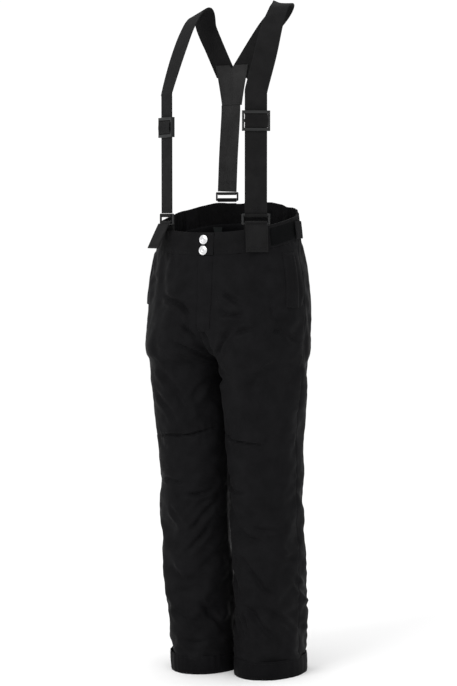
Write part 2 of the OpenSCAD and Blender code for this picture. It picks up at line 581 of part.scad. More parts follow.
// Over the wearer's left shoulder, and over the right one, which is a little lower
LEFT_ARM = [
  [[95, -52, 1058], [0.79, 0.6, 0]],
  [[96, -26, 1116], [0.98, 0.2, 0]],
  [[93, 4, brace_top_z - 7], [1, 0, 0]],
  [[84, 36, brace_top_z + 1], [0.98, 0, -0.16]],
  [[66, 54, 1144], [0.85, 0, -0.5]],
  [[36, 56, 1112], [0.72, 0, -0.69]],
  [arm_end(1), [0.8, 0, -0.6]]];
RIGHT_ARM = [
  [[-77, -64, 1042], [0.92, -0.38, 0.1]],
  [[-78, -40, 1080], [0.93, -0.3, 0.15]],
  [[-79, -12, 1118], [0.93, -0.2, 0.3]],
  [[-79, 18, brace_top_z - 11], [0.9, 0, 0.42]],
  [[-78, 40, brace_top_z - 7], [0.9, 0.1, 0.42]],
  [[-80, 54, 1126], [0.93, 0.1, 0.36]],
  [[-66, 56, 1094], [0.9, 0, 0.42]],
  [arm_end(-1), [0.86, 0, 0.5]]];
function strap_path(side) = concat(strap_start(side), side > 0 ? LEFT_ARM : RIGHT_ARM);
module brace_strap(side) ribbon(strap_path(side), 40);
module brace_strap_right() color("#2f2f31") brace_strap(-1);
module brace_strap_left() color("#2a2a2c") brace_strap(1);

// Three-bar slide adjuster: the strap runs behind its middle bar
ADJ_H = 34;
ADJ_BAR = 5;
ADJ_T = 3;
ADJ_OFF = webbing_t / 2 + 0.3;
ADJ_SIDE_W = 3;
ADJ_BACK_T = 1.4;
ADJ_BACK = -ADJ_OFF - ADJ_BACK_T;
ADJ_W = RING_GAP_W + 2 * ADJ_SIDE_W;
// The left one sits a little higher than the right one
function adjuster_mid(side) = adjuster_z + side * 4;
module adjuster(side) at_anchor(side, adjuster_mid(side) - ADJ_H / 2) {
  difference() {
    translate([ADJ_OFF, -ADJ_W / 2, 0]) cube([ADJ_T, ADJ_W, ADJ_H]);
    for (z = [ADJ_BAR, (ADJ_H + ADJ_BAR) / 2]) translate([ADJ_OFF - 1, -RING_GAP_W / 2, z])
      cube([ADJ_T + 2, RING_GAP_W, (ADJ_H - 3 * ADJ_BAR) / 2]);
  }
  for (z = [0.5, ADJ_H - ADJ_BAR - 0.5]) translate([ADJ_BACK, -ADJ_W / 2, z])
    cube([ADJ_BACK_T, ADJ_W, ADJ_BAR]);
  for (y = [-ADJ_W / 2, ADJ_W / 2 - ADJ_SIDE_W]) translate([ADJ_BACK, y, 0])
    cube([2 * ADJ_OFF + 1.5, ADJ_SIDE_W, ADJ_H]);
}
module brace_adjuster_right() color("#333437") adjuster(-1);
module brace_adjuster_left() color("#333437") adjuster(1);

module brace_yoke() color("#343436") translate([YOKE_X, YOKE_Y + YOKE_T / 2, 0]) rotate([90, 0, 0])
  linear_extrude(YOKE_T) polygon([[-YOKE_TOP_W / 2, YOKE_TOP_Z], [-YOKE_LOW_W / 2, YOKE_LOW_Z],
    [YOKE_LOW_W / 2, YOKE_LOW_Z], [YOKE_TOP_W / 2, YOKE_TOP_Z], [3, YOKE_TOP_Z], [0, YOKE_TOP_Z - 6],
    [-3, YOKE_TOP_Z]]);

BACK_RING_X = -38;
BACK_RING_Z = 824.5;
BACK_LEAF_TOP_Z = 819;
BACK_LEAF_OFF = BAND_OUT + 0.8;
BACK_RING_Y = skin(1, back_turn_at(-BACK_RING_X, BACK_LEAF_TOP_Z), BACK_LEAF_TOP_Z, BACK_LEAF_OFF)[1];
BACK_WIRE_R = 1.6;
BACK_GAP_H = 9;
BACK_RING_TOP = BACK_RING_Z + BACK_GAP_H + 2 * BACK_WIRE_R;
module back_strap() color("#2f2f31") ribbon([
  [[BACK_RING_X, BACK_RING_Y, BACK_RING_TOP + BACK_WIRE_R + 0.8], [1, 0, 0]],
  [[-36, YOKE_Y, 900], [1, 0, 0]],
  [[-32, YOKE_Y, 962], [1, 0, 0]],
  [[-31, YOKE_Y, YOKE_LOW_Z - 10], [1, 0, 0]],
  [[-31, YOKE_Y, YOKE_LOW_Z - 0.6], [1, 0, 0]]], 12);
module back_ring() color("#3c3d40") translate([BACK_RING_X, BACK_RING_Y, BACK_RING_Z])
  rotate([0, 0, 90]) wire_ring(webbing_w + 1, BACK_GAP_H, BACK_WIRE_R);
// Loop that ties the back ring to the outside of the band
module back_ring_loop() color("#262628") {
  translate([BACK_RING_X, BACK_RING_Y, BACK_RING_Z]) rotate([0, 90, 0])
    translate([0, 0, -webbing_w / 2 + 1]) difference() {
      cylinder(r=3.4, h=webbing_w - 2);
      translate([0, 0, -1]) cylinder(r=BACK_WIRE_R + 0.4, h=webbing_w);
    }
  back_piece(BACK_RING_X - webbing_w / 2 + 1, BACK_RING_X + webbing_w / 2 - 1, steps(786, BACK_LEAF_TOP_Z, 3),
    BACK_LEAF_OFF + 0.7, BACK_LEAF_OFF - 0.5);
}

front_panel_right();
front_panel_left();
back_panel_right();
back_panel_left();
wadding_right();
wadding_left();
lining_right();
lining_left();
hem_band_right();
hem_band_left();
snow_gaiter_right();
snow_gaiter_left();
gaiter_elastic_right();
gaiter_elastic_left();
waistband_front_right();
waistband_front_left();
waistband_back();
waist_elastic();
size_label();
fly_placket();
fly_underlap();
fly_zip_tapes();
fly_zip_coils();
fly_zip_stops();
fly_slider();
fly_pull();
waist_tongue();
waist_lap();
snap_caps();
snap_sockets();
snap_studs();
pocket_welt_right();
pocket_welt_left();
pocket_bag_right();
pocket_bag_left();
pocket_zip_right();
pocket_zip_left();
pocket_slider_right();
pocket_slider_left();
pocket_pull_right();
pocket_pull_left();
waist_patch_right();
waist_patch_left();
waist_tab_right();
waist_tab_left();
brace_strap_right();
brace_strap_left();
brace_adjuster_right();
brace_adjuster_left();
brace_ring_right();
brace_ring_left();
brace_tab_loop_right();
brace_tab_loop_left();
brace_tab_flap_right();
brace_tab_flap_left();
brace_yoke();
back_strap();
back_ring();
back_ring_loop();
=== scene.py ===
"""Insulated child's ski pants: the visible cloth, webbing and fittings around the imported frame."""
import math

import bmesh
import bpy
import numpy as np
from mathutils import Matrix, Vector


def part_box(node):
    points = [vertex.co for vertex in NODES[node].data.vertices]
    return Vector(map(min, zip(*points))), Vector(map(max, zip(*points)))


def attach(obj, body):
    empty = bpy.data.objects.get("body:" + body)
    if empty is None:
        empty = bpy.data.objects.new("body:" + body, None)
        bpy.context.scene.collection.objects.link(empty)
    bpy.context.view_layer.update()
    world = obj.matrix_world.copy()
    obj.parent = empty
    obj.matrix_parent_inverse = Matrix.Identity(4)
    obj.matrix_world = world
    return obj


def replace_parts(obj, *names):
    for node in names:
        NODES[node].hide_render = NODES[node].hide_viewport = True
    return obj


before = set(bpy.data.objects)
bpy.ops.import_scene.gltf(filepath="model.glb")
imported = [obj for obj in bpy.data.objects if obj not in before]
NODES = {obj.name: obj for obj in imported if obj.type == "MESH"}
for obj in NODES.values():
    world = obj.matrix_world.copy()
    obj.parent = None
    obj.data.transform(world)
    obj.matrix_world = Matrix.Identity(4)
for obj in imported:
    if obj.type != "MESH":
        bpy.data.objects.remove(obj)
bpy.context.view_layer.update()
MM = 0.001

# ---------------------------------------------------------------- the garment's surface
# Rows as in the CAD source, in millimetres: height, distance of the leg's centre from the
# middle, half width, depth to the front, depth to the back, centre in Y, half of the walking
# stance, roundness (2 is an ellipse).
LEVELS = np.array([
    [0, 59.5, 57, 77, 77, 38, 8, 2],
    [33, 60.5, 57, 76, 76, 35, 8, 2],
    [110, 65, 58, 73, 73, 27, 8, 2],
    [270, 66, 61, 68, 68, 12, 6.5, 2],
    [400, 66, 64, 70, 70, 4, 5, 2],
    [480, 68.5, 68, 82, 82, 1, 2.5, 2],
    [545, 71, 71, 97, 97, 0, 0, 2],
    [575, 58, 87, 107, 106, 0, 0, 2],
    [610, 34, 113, 109, 110, 0.5, 0, 2],
    [660, 13, 134, 105, 108, 2, 0, 2],
    [700, 3, 139, 106, 98, 5, 0, 2.05],
    [735, 0, 134, 106, 86, 8, 0, 2.15],
    [770, 0, 126, 105, 67, 10, 0, 2.25],
    [830, 0, 124, 103, 46, 11, 0, 2.4]])
MIDDLE_Y = 6.8
WAIST_Z = 795.0
WAIST_RISE = 26.0
BAND_H = 38.0
STRAIGHT_Z = 600.0
PANEL_TOP = 740.0       # the level of the waist seam on every panel
FLY_LOW = 606
HEM_H = 33.0
SHELL_T = 0.9
WADDING = (-1.5, -4.0)
LINING = (-4.6, -5.4)
BAND_OUT, BAND_IN = 1.0, -2.2
MM_PER_TURN = 205.0     # a quarter of the way round a leg or the seat is about this far
SIDES = {"right": -1, "left": 1}


def through(knots, rows, at):
    """The rows' values at these places along a smooth curve through them."""
    last = len(knots) - 1
    i = np.clip(np.searchsorted(knots, at, "right") - 1, 0, last - 1)
    before = np.maximum(np.arange(last + 1) - 1, 0)
    after = np.minimum(np.arange(last + 1) + 1, last)
    slopes = (rows[after] - rows[before]) / (knots[after] - knots[before])[:, None]
    h = (knots[i + 1] - knots[i])[..., None]
    u = (at - knots[i])[..., None] / h
    return ((2 * u**3 - 3 * u**2 + 1) * rows[i] + (u**3 - 2 * u**2 + u) * h * slopes[i]
            + (3 * u**2 - 2 * u**3) * rows[i + 1] + (u**3 - u**2) * h * slopes[i + 1])


def skin(side, turn, z, off=0.0):
    """Points of the surface. turn is -1 at the front middle, 0 at the side seam, 1 at the back."""
    turn, z = np.broadcast_arrays(np.asarray(turn, float), np.asarray(z, float))
    s = through(LEVELS[:, 0], LEVELS, z)
    half, expo = s[..., 2], 2 / s[..., 7]
    reach = np.pi / 2 + np.arcsin(np.clip(s[..., 1] / half, 0, 1) ** (1 / expo))
    a = turn * reach
    depth = np.where(turn < 0, s[..., 3], s[..., 4]) + off
    c, n = np.cos(a), np.sin(a)
    x = side * (s[..., 1] + (half + off) * np.sign(c) * np.abs(c) ** expo)
    y = s[..., 5] - MIDDLE_Y + side * s[..., 6] + depth * np.sign(n) * np.abs(n) ** expo
    return np.stack([x, y, z], -1)


def unit(v):
    return v / np.linalg.norm(v, axis=-1, keepdims=True)


def outward(side, turn, z):
    """Unit normals of the surface."""
    d = 0.004
    along = skin(side, np.clip(turn + d, -1, 1), z) - skin(side, np.clip(turn - d, -1, 1), z)
    up = skin(side, turn, z + 2.0) - skin(side, turn, np.maximum(z - 2.0, 0))
    return unit(np.cross(along, up) * side)


def waist_top(turn):
    return WAIST_Z + WAIST_RISE * np.sin(np.pi / 2 * np.asarray(turn, float))


def seam_z(turn):
    return waist_top(turn) - BAND_H


def panel_z(level, turn):
    """Height on a panel: level is the height up to STRAIGHT_Z, and PANEL_TOP is the waist seam."""
    share = np.clip((level - STRAIGHT_Z) / (PANEL_TOP - STRAIGHT_Z), 0, None)
    return np.where(level <= STRAIGHT_Z, level, STRAIGHT_Z + share * (seam_z(turn) - STRAIGHT_Z))


def turn_at(x, z):
    """The turn at which the front of the surface is this far from the middle."""
    turns = np.linspace(-1, 0, 801)
    return np.interp(np.abs(x), skin(1, turns, np.full(801, float(z)))[:, 0], turns)


# ---------------------------------------------------------------- relief: folds and puckers
def smooth(x):
    x = np.clip(x, 0, 1)
    return x * x * (3 - 2 * x)


def ripple(s, z, wave, seed, stretch=1.0, lean=0.0, count=9):
    """A smooth random surface between about -1 and 1, with waves of this length."""
    rng = np.random.default_rng(seed)
    total = 0
    for _ in range(count):
        angle = rng.uniform(0, np.pi)
        k = 2 * np.pi / (wave * rng.uniform(0.75, 1.35))
        kx, kz = k * math.cos(angle), k * math.sin(angle) / stretch
        total = total + np.sin(kx * (s + lean * z) + kz * z + rng.uniform(0, 2 * np.pi))
    return total / math.sqrt(count) / 1.4


def curve_through(points, n=14):
    """Points on a smooth curve through a short list of points."""
    p = np.asarray(points, float)
    if len(p) == 2:
        return p[0] + (p[1] - p[0]) * np.linspace(0, 1, n)[:, None]
    ends = np.vstack([2 * p[0] - p[1], p, 2 * p[-1] - p[-2]])
    out = []
    for k in range(len(p) - 1):
        a, b, c, d = ends[k:k + 4]
        t = np.linspace(0, 1, n, endpoint=k == len(p) - 2)[:, None]
        out.append(0.5 * (2 * b + (c - a) * t + (2 * a - 5 * b + 4 * c - d) * t**2
                          + (3 * b - a - 3 * c + d) * t**3))
    return np.vstack(out)


def crease(s, z, points, depth, width, seed=0):
    """A valley with a roll of cloth on each side, fading out at both ends."""
    line = curve_through([(t * MM_PER_TURN, h) for t, h in points])
    best = np.full(s.shape, 1e9)
    share = np.zeros(s.shape)
    for k in range(len(line) - 1):
        a, d = line[k], line[k + 1] - line[k]
        long = d @ d
        t = np.clip(((s - a[0]) * d[0] + (z - a[1]) * d[1]) / long, 0, 1)
        near = np.hypot(s - a[0] - t * d[0], z - a[1] - t * d[1])
        closer = near < best
        best = np.where(closer, near, best)
        share = np.where(closer, (k + t) / (len(line) - 1), share)
    wobble = 1 + 0.25 * ripple(s, z, 34, 90 + seed)
    best = best / (width * wobble)
    fade = smooth(share / 0.28) * smooth((1 - share) / 0.28)
    return depth * fade * (-np.exp(-best**2) + 0.62 * np.exp(-((best - 2.0) / 1.1) ** 2))


# Creases by side, as points of (turn, height), with depth and half width in millimetres
CREASE_GAIN = 1.25
CREASES = {
    -1: [
        ([(-0.30, 418), (-0.45, 420), (-0.65, 423), (-0.93, 437)], 2.6, 2.2),
        ([(-0.30, 345), (-0.45, 340), (-0.62, 335)], 2.4, 3.5),
        ([(-0.56, 318), (-0.70, 318), (-0.86, 325)], 2.6, 3.6),
        ([(-0.62, 664), (-0.74, 655), (-0.86, 645), (-0.97, 615)], 4.2, 4.6),
        ([(-0.82, 622), (-0.93, 600), (-0.99, 585)], 4.0, 4.4),
        ([(-0.72, 585), (-0.86, 572), (-0.97, 560)], 3.2, 4.5),
        ([(-0.40, 545), (-0.50, 520), (-0.60, 485), (-0.68, 445)], 2.8, 6.0),
        ([(-0.34, 500), (-0.46, 470), (-0.56, 440)], 2.2, 5.0),
        ([(-0.85, 520), (-0.74, 500), (-0.66, 470)], 1.8, 5.5),
        ([(-0.86, 302), (-0.74, 280), (-0.58, 245)], 3.0, 4.6),
        ([(-0.82, 262), (-0.70, 240), (-0.55, 208)], 2.8, 4.6),
        ([(-0.40, 300), (-0.50, 275), (-0.60, 262)], 2.0, 5.0),
        ([(-0.36, 190), (-0.52, 170), (-0.74, 168)], 2.0, 5.5),
        ([(-0.66, 135), (-0.78, 108), (-0.92, 72)], 3.0, 4.5),
        ([(-0.40, 118), (-0.56, 96), (-0.70, 92)], 2.4, 5.0),
        ([(-0.44, 64), (-0.60, 56), (-0.80, 62)], 1.9, 4.2),
        ([(-0.28, 705), (-0.40, 690), (-0.55, 684)], 1.6, 6.0),
    ],
    1: [
        ([(-0.90, 432), (-0.62, 417), (-0.45, 412), (-0.28, 408)], 2.6, 2.2),
        ([(-0.84, 336), (-0.70, 327), (-0.44, 325)], 2.5, 3.4),
        ([(-0.46, 268), (-0.35, 262), (-0.18, 262)], 2.2, 3.4),
        ([(-0.97, 690), (-0.86, 676), (-0.73, 660), (-0.58, 642)], 3.6, 4.0),
        ([(-0.84, 640), (-0.72, 632), (-0.55, 630)], 2.6, 4.0),
        ([(-0.70, 612), (-0.73, 585), (-0.78, 558)], 3.2, 4.2),
        ([(-0.66, 598), (-0.58, 606), (-0.46, 610)], 2.4, 4.0),
        ([(-0.98, 612), (-0.90, 586), (-0.84, 562)], 3.6, 4.2),
        ([(-0.92, 540), (-0.80, 522), (-0.68, 515)], 2.6, 5.0),
        ([(-0.20, 560), (-0.36, 520), (-0.44, 470)], 1.8, 6.5),
        ([(-0.66, 270), (-0.52, 250), (-0.36, 238)], 3.0, 4.8),
        ([(-0.66, 226), (-0.52, 200), (-0.40, 170), (-0.24, 130)], 3.6, 5.2),
        ([(-0.60, 138), (-0.46, 112), (-0.34, 86), (-0.14, 42)], 3.8, 5.0),
        ([(-0.40, 136), (-0.26, 112), (-0.06, 82)], 3.0, 4.8),
        ([(-0.60, 128), (-0.56, 100), (-0.46, 62)], 2.6, 4.4),
        ([(-0.86, 210), (-0.76, 176), (-0.70, 140)], 2.4, 5.0),
        ([(-0.30, 230), (-0.16, 214), (0.04, 205)], 2.0, 5.2),
        ([(-0.10, 180), (0.06, 150), (0.26, 132)], 2.2, 5.4),
        ([(-0.40, 602), (-0.26, 603), (-0.12, 588), (0.04, 577)], 2.0, 3.4),
        ([(-0.40, 655), (-0.36, 632), (-0.28, 612)], 1.5, 3.2),
    ],
}
# The same kinds of fold on the back of both legs and the seat
BACK_CREASES = [
    ([(0.30, 430), (0.55, 418), (0.80, 425)], 3.2, 5.0),
    ([(0.24, 392), (0.50, 388), (0.86, 396)], 3.4, 5.2),
    ([(0.30, 352), (0.56, 356), (0.78, 350)], 2.6, 5.2),
    ([(0.34, 566), (0.60, 552), (0.90, 560)], 3.4, 5.0),
    ([(0.50, 600), (0.72, 580), (0.96, 584)], 3.2, 4.8),
    ([(0.22, 150), (0.46, 120), (0.72, 96)], 3.0, 5.0),
    ([(0.40, 210), (0.62, 184), (0.86, 172)], 2.6, 5.2),
    ([(0.20, 96), (0.44, 66), (0.62, 54)], 2.4, 4.6),
]
SEAM_REACH = 9.0


def seam_pucker(distance, along, wave, depth, seed):
    """Small gathers square to a seam, dying out away from it, and the seam's own dip."""
    puckers = ripple(along, along * 0, wave, seed, count=7)
    return (depth * np.exp(-np.abs(distance) / SEAM_REACH) * puckers
            - 0.8 * np.exp(-(distance / 1.3) ** 2))


def relief(side, turn, z):
    """How far the quilted cloth stands out from the plain surface, in millimetres."""
    s = turn * MM_PER_TURN
    r = 1.5 * ripple(s, z, 105, 11 + side, stretch=1.5, lean=0.25 * side)
    r = r + 0.85 * ripple(s, z, 46, 23 + side, stretch=1.3, lean=-0.3 * side)
    r = r + 0.30 * ripple(s, z, 19, 37 + side)
    low = smooth((300 - z) / 160)
    r = r + low * 1.2 * ripple(s, z, 40, 51 + side, stretch=0.6, lean=0.8 * side)
    for k, (points, depth, width) in enumerate(CREASES[side]):
        r = r + crease(s, z, points, depth * CREASE_GAIN, width, k)
    for k, (points, depth, width) in enumerate(BACK_CREASES):
        shift = 8 * side * (1 if k % 2 else -1)
        r = r + crease(s, z, [(t, h + shift) for t, h in points], depth, width, 40 + k)
    r = r + seam_pucker(s, z, 13, 0.9, 61 + side)
    end = (1 - np.abs(turn)) * MM_PER_TURN
    r = r + seam_pucker(end, z, 12, 1.0, 71)
    knee = np.where(turn < 0, z - (417 + 18 * smooth((-0.45 - turn) / 0.5)), 1e3)
    r = r + seam_pucker(knee, s, 11, 0.8, 83 + side)
    r = r * smooth(end / 11.0)
    top = panel_top_distance(turn, z)
    r = r * smooth(top / 16.0) + 0.7 * np.exp(-top / 10) * ripple(s, s * 0, 10, 97 + side, count=7)
    seat = smooth((turn - 0.05) / 0.3) * np.exp(-top / 34)
    r = r + seat * 2.2 * gathers(turn * side)
    r = r + settled_folds(side, turn, z)
    r = r * flat_zones(side, turn, z)
    r = r * (0.25 + 0.75 * smooth((z - 6) / 40)) * smooth(end / 3.0)
    return np.clip(r, -6.0, 6.0)


def flat_zones(side, turn, z):
    """Nearly flat under the pockets' welts and the fly, where several layers are sewn together."""
    welt = smooth((np.abs(turn + 0.175) - 0.085) / 0.05) + smooth((np.abs(z - 689) - 48) / 12)
    fly_turn = np.where(z > FLY_LOW, 0.83, 2.0) if side > 0 else 0.97
    fly = smooth((fly_turn + turn) / 0.05) + smooth((FLY_LOW - z) / 14)
    return 0.12 + 0.88 * np.clip(welt, 0, 1) * np.clip(fly, 0, 1)


# Folds found by simulation, by side: turns, levels and the height of the folds there
FOLDS = {}


def level_of(turn, z):
    share = (z - STRAIGHT_Z) / (seam_z(turn) - STRAIGHT_Z)
    return np.where(z <= STRAIGHT_Z, z, STRAIGHT_Z + share * (PANEL_TOP - STRAIGHT_Z))


def settled_folds(side, turn, z):
    if side not in FOLDS:
        return 0.0
    turns, levels, height = FOLDS[side]
    level = level_of(turn, z)
    x = np.clip((turn - turns[0]) / (turns[1] - turns[0]), 0, len(turns) - 1.001)
    y = np.clip((level - levels[0]) / (levels[1] - levels[0]), 0, len(levels) - 1.001)
    i, j = y.astype(int), x.astype(int)
    u, v = y - i, x - j
    return ((height[i, j] * (1 - v) + height[i, j + 1] * v) * (1 - u)
            + (height[i + 1, j] * (1 - v) + height[i + 1, j + 1] * v) * u)


def finer(values, times):
    """The same sheet of values on a finer grid, with its corners rounded off."""
    for axis in (0, 1):
        n = values.shape[axis]
        at = np.linspace(0, n - 1, (n - 1) * times + 1)
        low = np.minimum(at.astype(int), n - 2)
        share = at - low
        share = share[:, None] if axis == 0 else share[None, :]
        first, second = np.take(values, low, axis), np.take(values, low + 1, axis)
        values = first * (1 - share) + second * share
        for _ in range(times):
            padded = np.concatenate([np.take(values, [0], axis), values,
                                     np.take(values, [-1], axis)], axis)
            m = values.shape[axis]
            parts = [np.take(padded, np.arange(m) + k, axis) for k in range(3)]
            values = (parts[0] + 2 * parts[1] + parts[2]) / 4
    return values


SETTLE_MM = 7.0
SETTLE_FRAMES = 36
SETTLE_CAP = 3.6        # the folds stay under this height
SETTLE_SPREAD = 31      # rounds of smoothing that leave only the broad sag, which is taken away
SETTLE_GRAVITY = 0.15
SETTLE_CLOTH = {
    "vertex_group_mass": "held", "quality": 6, "mass": 0.25, "tension_stiffness": 18,
    "compression_stiffness": 18, "shear_stiffness": 8, "bending_stiffness": 1.4,
    "pin_stiffness": 1.2, "shrink_min": -0.035, "air_damping": 3.0, "use_pressure": True,
    "uniform_pressure_force": 0.8}


def settle(side):
    """Lets slightly over-long cloth, held at its seams, drop and buckle over one half of the body."""
    turns = np.linspace(-1, 1, 2 * int(MM_PER_TURN / SETTLE_MM) + 1)
    levels = np.linspace(0, PANEL_TOP, int(PANEL_TOP / SETTLE_MM) + 1)
    turn, level = np.meshgrid(turns, levels)
    z = panel_z(level, turn)
    start = skin(side, turn, z)
    normal = outward(side, turn, z)
    obj = new_object(f"settling_{side}", start, grid_quads(*turn.shape)[:, ::side])
    held = obj.vertex_groups.new(name="held")
    edge = np.minimum((1 - np.abs(turn)) * MM_PER_TURN, np.minimum(level, PANEL_TOP - level))
    weight = np.clip(1 - edge / 14, 0, 1)
    weight = np.maximum(weight, 0.5 * np.exp(-(turn * MM_PER_TURN / 5) ** 2))
    knee = np.where(turn < 0, np.exp(-((level - 420) / 6) ** 2), 0)
    weight = np.maximum(np.maximum(weight, 0.4 * knee), 0.06)
    for index, value in enumerate(weight.ravel()):
        held.add([index], float(value), "REPLACE")
    cloth_mod = obj.modifiers.new("cloth", "CLOTH")
    for key, value in SETTLE_CLOTH.items():
        setattr(cloth_mod.settings, key, value)
    cloth_mod.settings.effector_weights.gravity = SETTLE_GRAVITY
    cloth_mod.point_cache.frame_start = 1
    cloth_mod.point_cache.frame_end = SETTLE_FRAMES
    scene = bpy.context.scene
    for number in range(1, SETTLE_FRAMES + 1):
        scene.frame_set(number)
    shape = obj.evaluated_get(bpy.context.evaluated_depsgraph_get()).data
    now = np.zeros(len(shape.vertices) * 3)
    shape.vertices.foreach_get("co", now)
    moved = now.reshape(start.shape) / MM - start
    height = (moved * normal).sum(-1)
    mesh = obj.data
    bpy.data.objects.remove(obj)
    bpy.data.meshes.remove(mesh)
    scene.frame_set(1)
    broad = height
    for _ in range(SETTLE_SPREAD):
        broad = finer(broad, 1)
    height = (height - broad) * np.clip(edge / 10, 0, 1)
    height = SETTLE_CAP * np.tanh(height / SETTLE_CAP)
    height = finer(height, 3)
    rows, cols = height.shape
    FOLDS[side] = (np.linspace(-1, 1, cols), np.linspace(0, PANEL_TOP, rows), height)


def panel_top_distance(turn, z):
    return np.maximum(seam_z(turn) - z, 0)


def gathers(around):
    """Vertical folds that the elastic draws into the back of the waist."""
    s = around * MM_PER_TURN
    return 0.85 * ripple(s, s * 0, 27, 5, count=6) + 0.40 * ripple(s, s * 0, 13, 6, count=6)


# ---------------------------------------------------------------- mesh building
def placed(name, data):
    """An object in the scene that holds this mesh, light or camera."""
    obj = bpy.data.objects.new(name, data)
    bpy.context.scene.collection.objects.link(obj)
    return obj


def shown(mesh, sharp):
    """An object for a mesh, shaded smooth except at edges sharper than this many degrees."""
    mesh.shade_smooth()
    mesh.set_sharp_from_angle(angle=math.radians(sharp))
    return placed(mesh.name, mesh)


def new_object(name, verts, faces, uv=None, sharp=40):
    mesh = bpy.data.meshes.new(name)
    verts = np.asarray(verts, float).reshape(-1, 3) * MM
    faces = np.asarray(faces, np.int32)
    mesh.vertices.add(len(verts))
    mesh.vertices.foreach_set("co", verts.ravel())
    corners = faces.shape[1]
    mesh.loops.add(faces.size)
    mesh.loops.foreach_set("vertex_index", faces.ravel())
    mesh.polygons.add(len(faces))
    mesh.polygons.foreach_set("loop_start", np.arange(0, faces.size, corners, dtype=np.int32))
    mesh.update(calc_edges=True)
    mesh.validate()
    if uv is not None:
        layer = mesh.uv_layers.new(name="cloth")
        index = np.zeros(len(mesh.loops), np.int32)
        mesh.loops.foreach_get("vertex_index", index)
        layer.data.foreach_set("uv", (np.asarray(uv, float).reshape(-1, 2)[index] * MM).ravel())
    return shown(mesh, sharp)


def grid_quads(rows, cols, start=0, loop=False):
    wide = cols if loop else cols - 1
    i, j = np.meshgrid(np.arange(rows - 1), np.arange(wide), indexing="ij")
    k = (j + 1) % cols
    quads = np.stack([i * cols + j, i * cols + k, (i + 1) * cols + k, (i + 1) * cols + j], -1)
    return quads.reshape(-1, 4) + start


def opening_walls(gone, cols, n):
    """Faces round the openings cut in a sheet, from its outer to its inner side."""
    walls = []
    for i, j in zip(*np.nonzero(gone[:, :-1] != gone[:, 1:])):
        a, b = i * cols + j + 1, (i + 1) * cols + j + 1
        walls.append((b, a, a + n, b + n) if gone[i, j + 1] else (a, b, b + n, a + n))
    for i, j in zip(*np.nonzero(gone[:-1] != gone[1:])):
        a, b = (i + 1) * cols + j, (i + 1) * cols + j + 1
        walls.append((a, b, b + n, a + n) if gone[i + 1, j] else (b, a, a + n, b + n))
    return np.array(walls).reshape(-1, 4)


def sheet_object(name, outer, inner, uv, flip=False, loop=False, sharp=40, gone=None):
    """A closed sheet from an outer and an inner grid of points. gone marks the quads cut away."""
    rows, cols = outer.shape[:2]
    n = rows * cols
    faces = [grid_quads(rows, cols, 0, loop), grid_quads(rows, cols, n, loop)[:, ::-1]]
    if gone is not None:
        keep = ~gone.ravel()
        faces = [faces[0][keep], faces[1][keep], opening_walls(gone, cols, n)]
    wide = cols if loop else cols - 1
    j = np.arange(wide)
    k = (j + 1) % cols
    faces.append(np.stack([j + n, k + n, k, j], -1))
    top = (rows - 1) * cols
    faces.append(np.stack([j + top, k + top, k + top + n, j + top + n], -1))
    if not loop:
        i = np.arange(rows - 1) * cols
        faces.append(np.stack([i + n, i, i + cols, i + cols + n], -1))
        e = i + cols - 1
        faces.append(np.stack([e, e + n, e + cols + n, e + cols], -1))
    faces = np.vstack(faces)
    if flip:
        faces = faces[:, ::-1]
    verts = np.vstack([outer.reshape(-1, 3), inner.reshape(-1, 3)])
    uvs = None if uv is None else np.vstack([uv.reshape(-1, 2)] * 2)
    return new_object(name, verts, faces, uvs, sharp)


def finish_piece(obj, body, material, nodes=()):
    obj.data.materials.clear()
    obj.data.materials.append(material)
    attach(obj, body)
    if nodes:
        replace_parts(obj, *nodes)
    return obj


# ---------------------------------------------------------------- materials
def shader(name, color, rough, **sockets):
    mat = bpy.data.materials.new(name)
    mat.use_nodes = True
    node = mat.node_tree.nodes["Principled BSDF"]
    node.inputs["Base Color"].default_value = (*color, 1)
    node.inputs["Roughness"].default_value = rough
    for key, value in sockets.items():
        node.inputs[key.replace("_", " ")].default_value = value
    return mat, node


def add(mat, kind, **values):
    """A node whose sockets, and otherwise its settings, take these values."""
    node = mat.node_tree.nodes.new(kind)
    for key, value in values.items():
        socket = key.replace("_", " ")
        if socket in node.inputs:
            node.inputs[socket].default_value = value
        else:
            setattr(node, key, value)
    return node


def link(mat, a, out, b, into):
    mat.node_tree.links.new(a.outputs[out], b.inputs[into])


def mottled(mat, node, noise, color, spread):
    """The colour wanders this far about its middle with the noise."""
    ramp = add(mat, "ShaderNodeValToRGB")
    for element, stop, sign in zip(ramp.color_ramp.elements, (0.3, 0.7), (-1, 1)):
        element.position = stop
        element.color = (*[min(c * (1 + sign * spread), 1) for c in color], 1)
    link(mat, noise, "Fac", ramp, "Fac")
    link(mat, ramp, "Color", node, "Base Color")


def uneven_gloss(mat, node, noise, low, high):
    level = add(mat, "ShaderNodeMapRange", To_Min=low, To_Max=high)
    link(mat, noise, "Fac", level, "Value")
    link(mat, level, "Result", node, "Roughness")


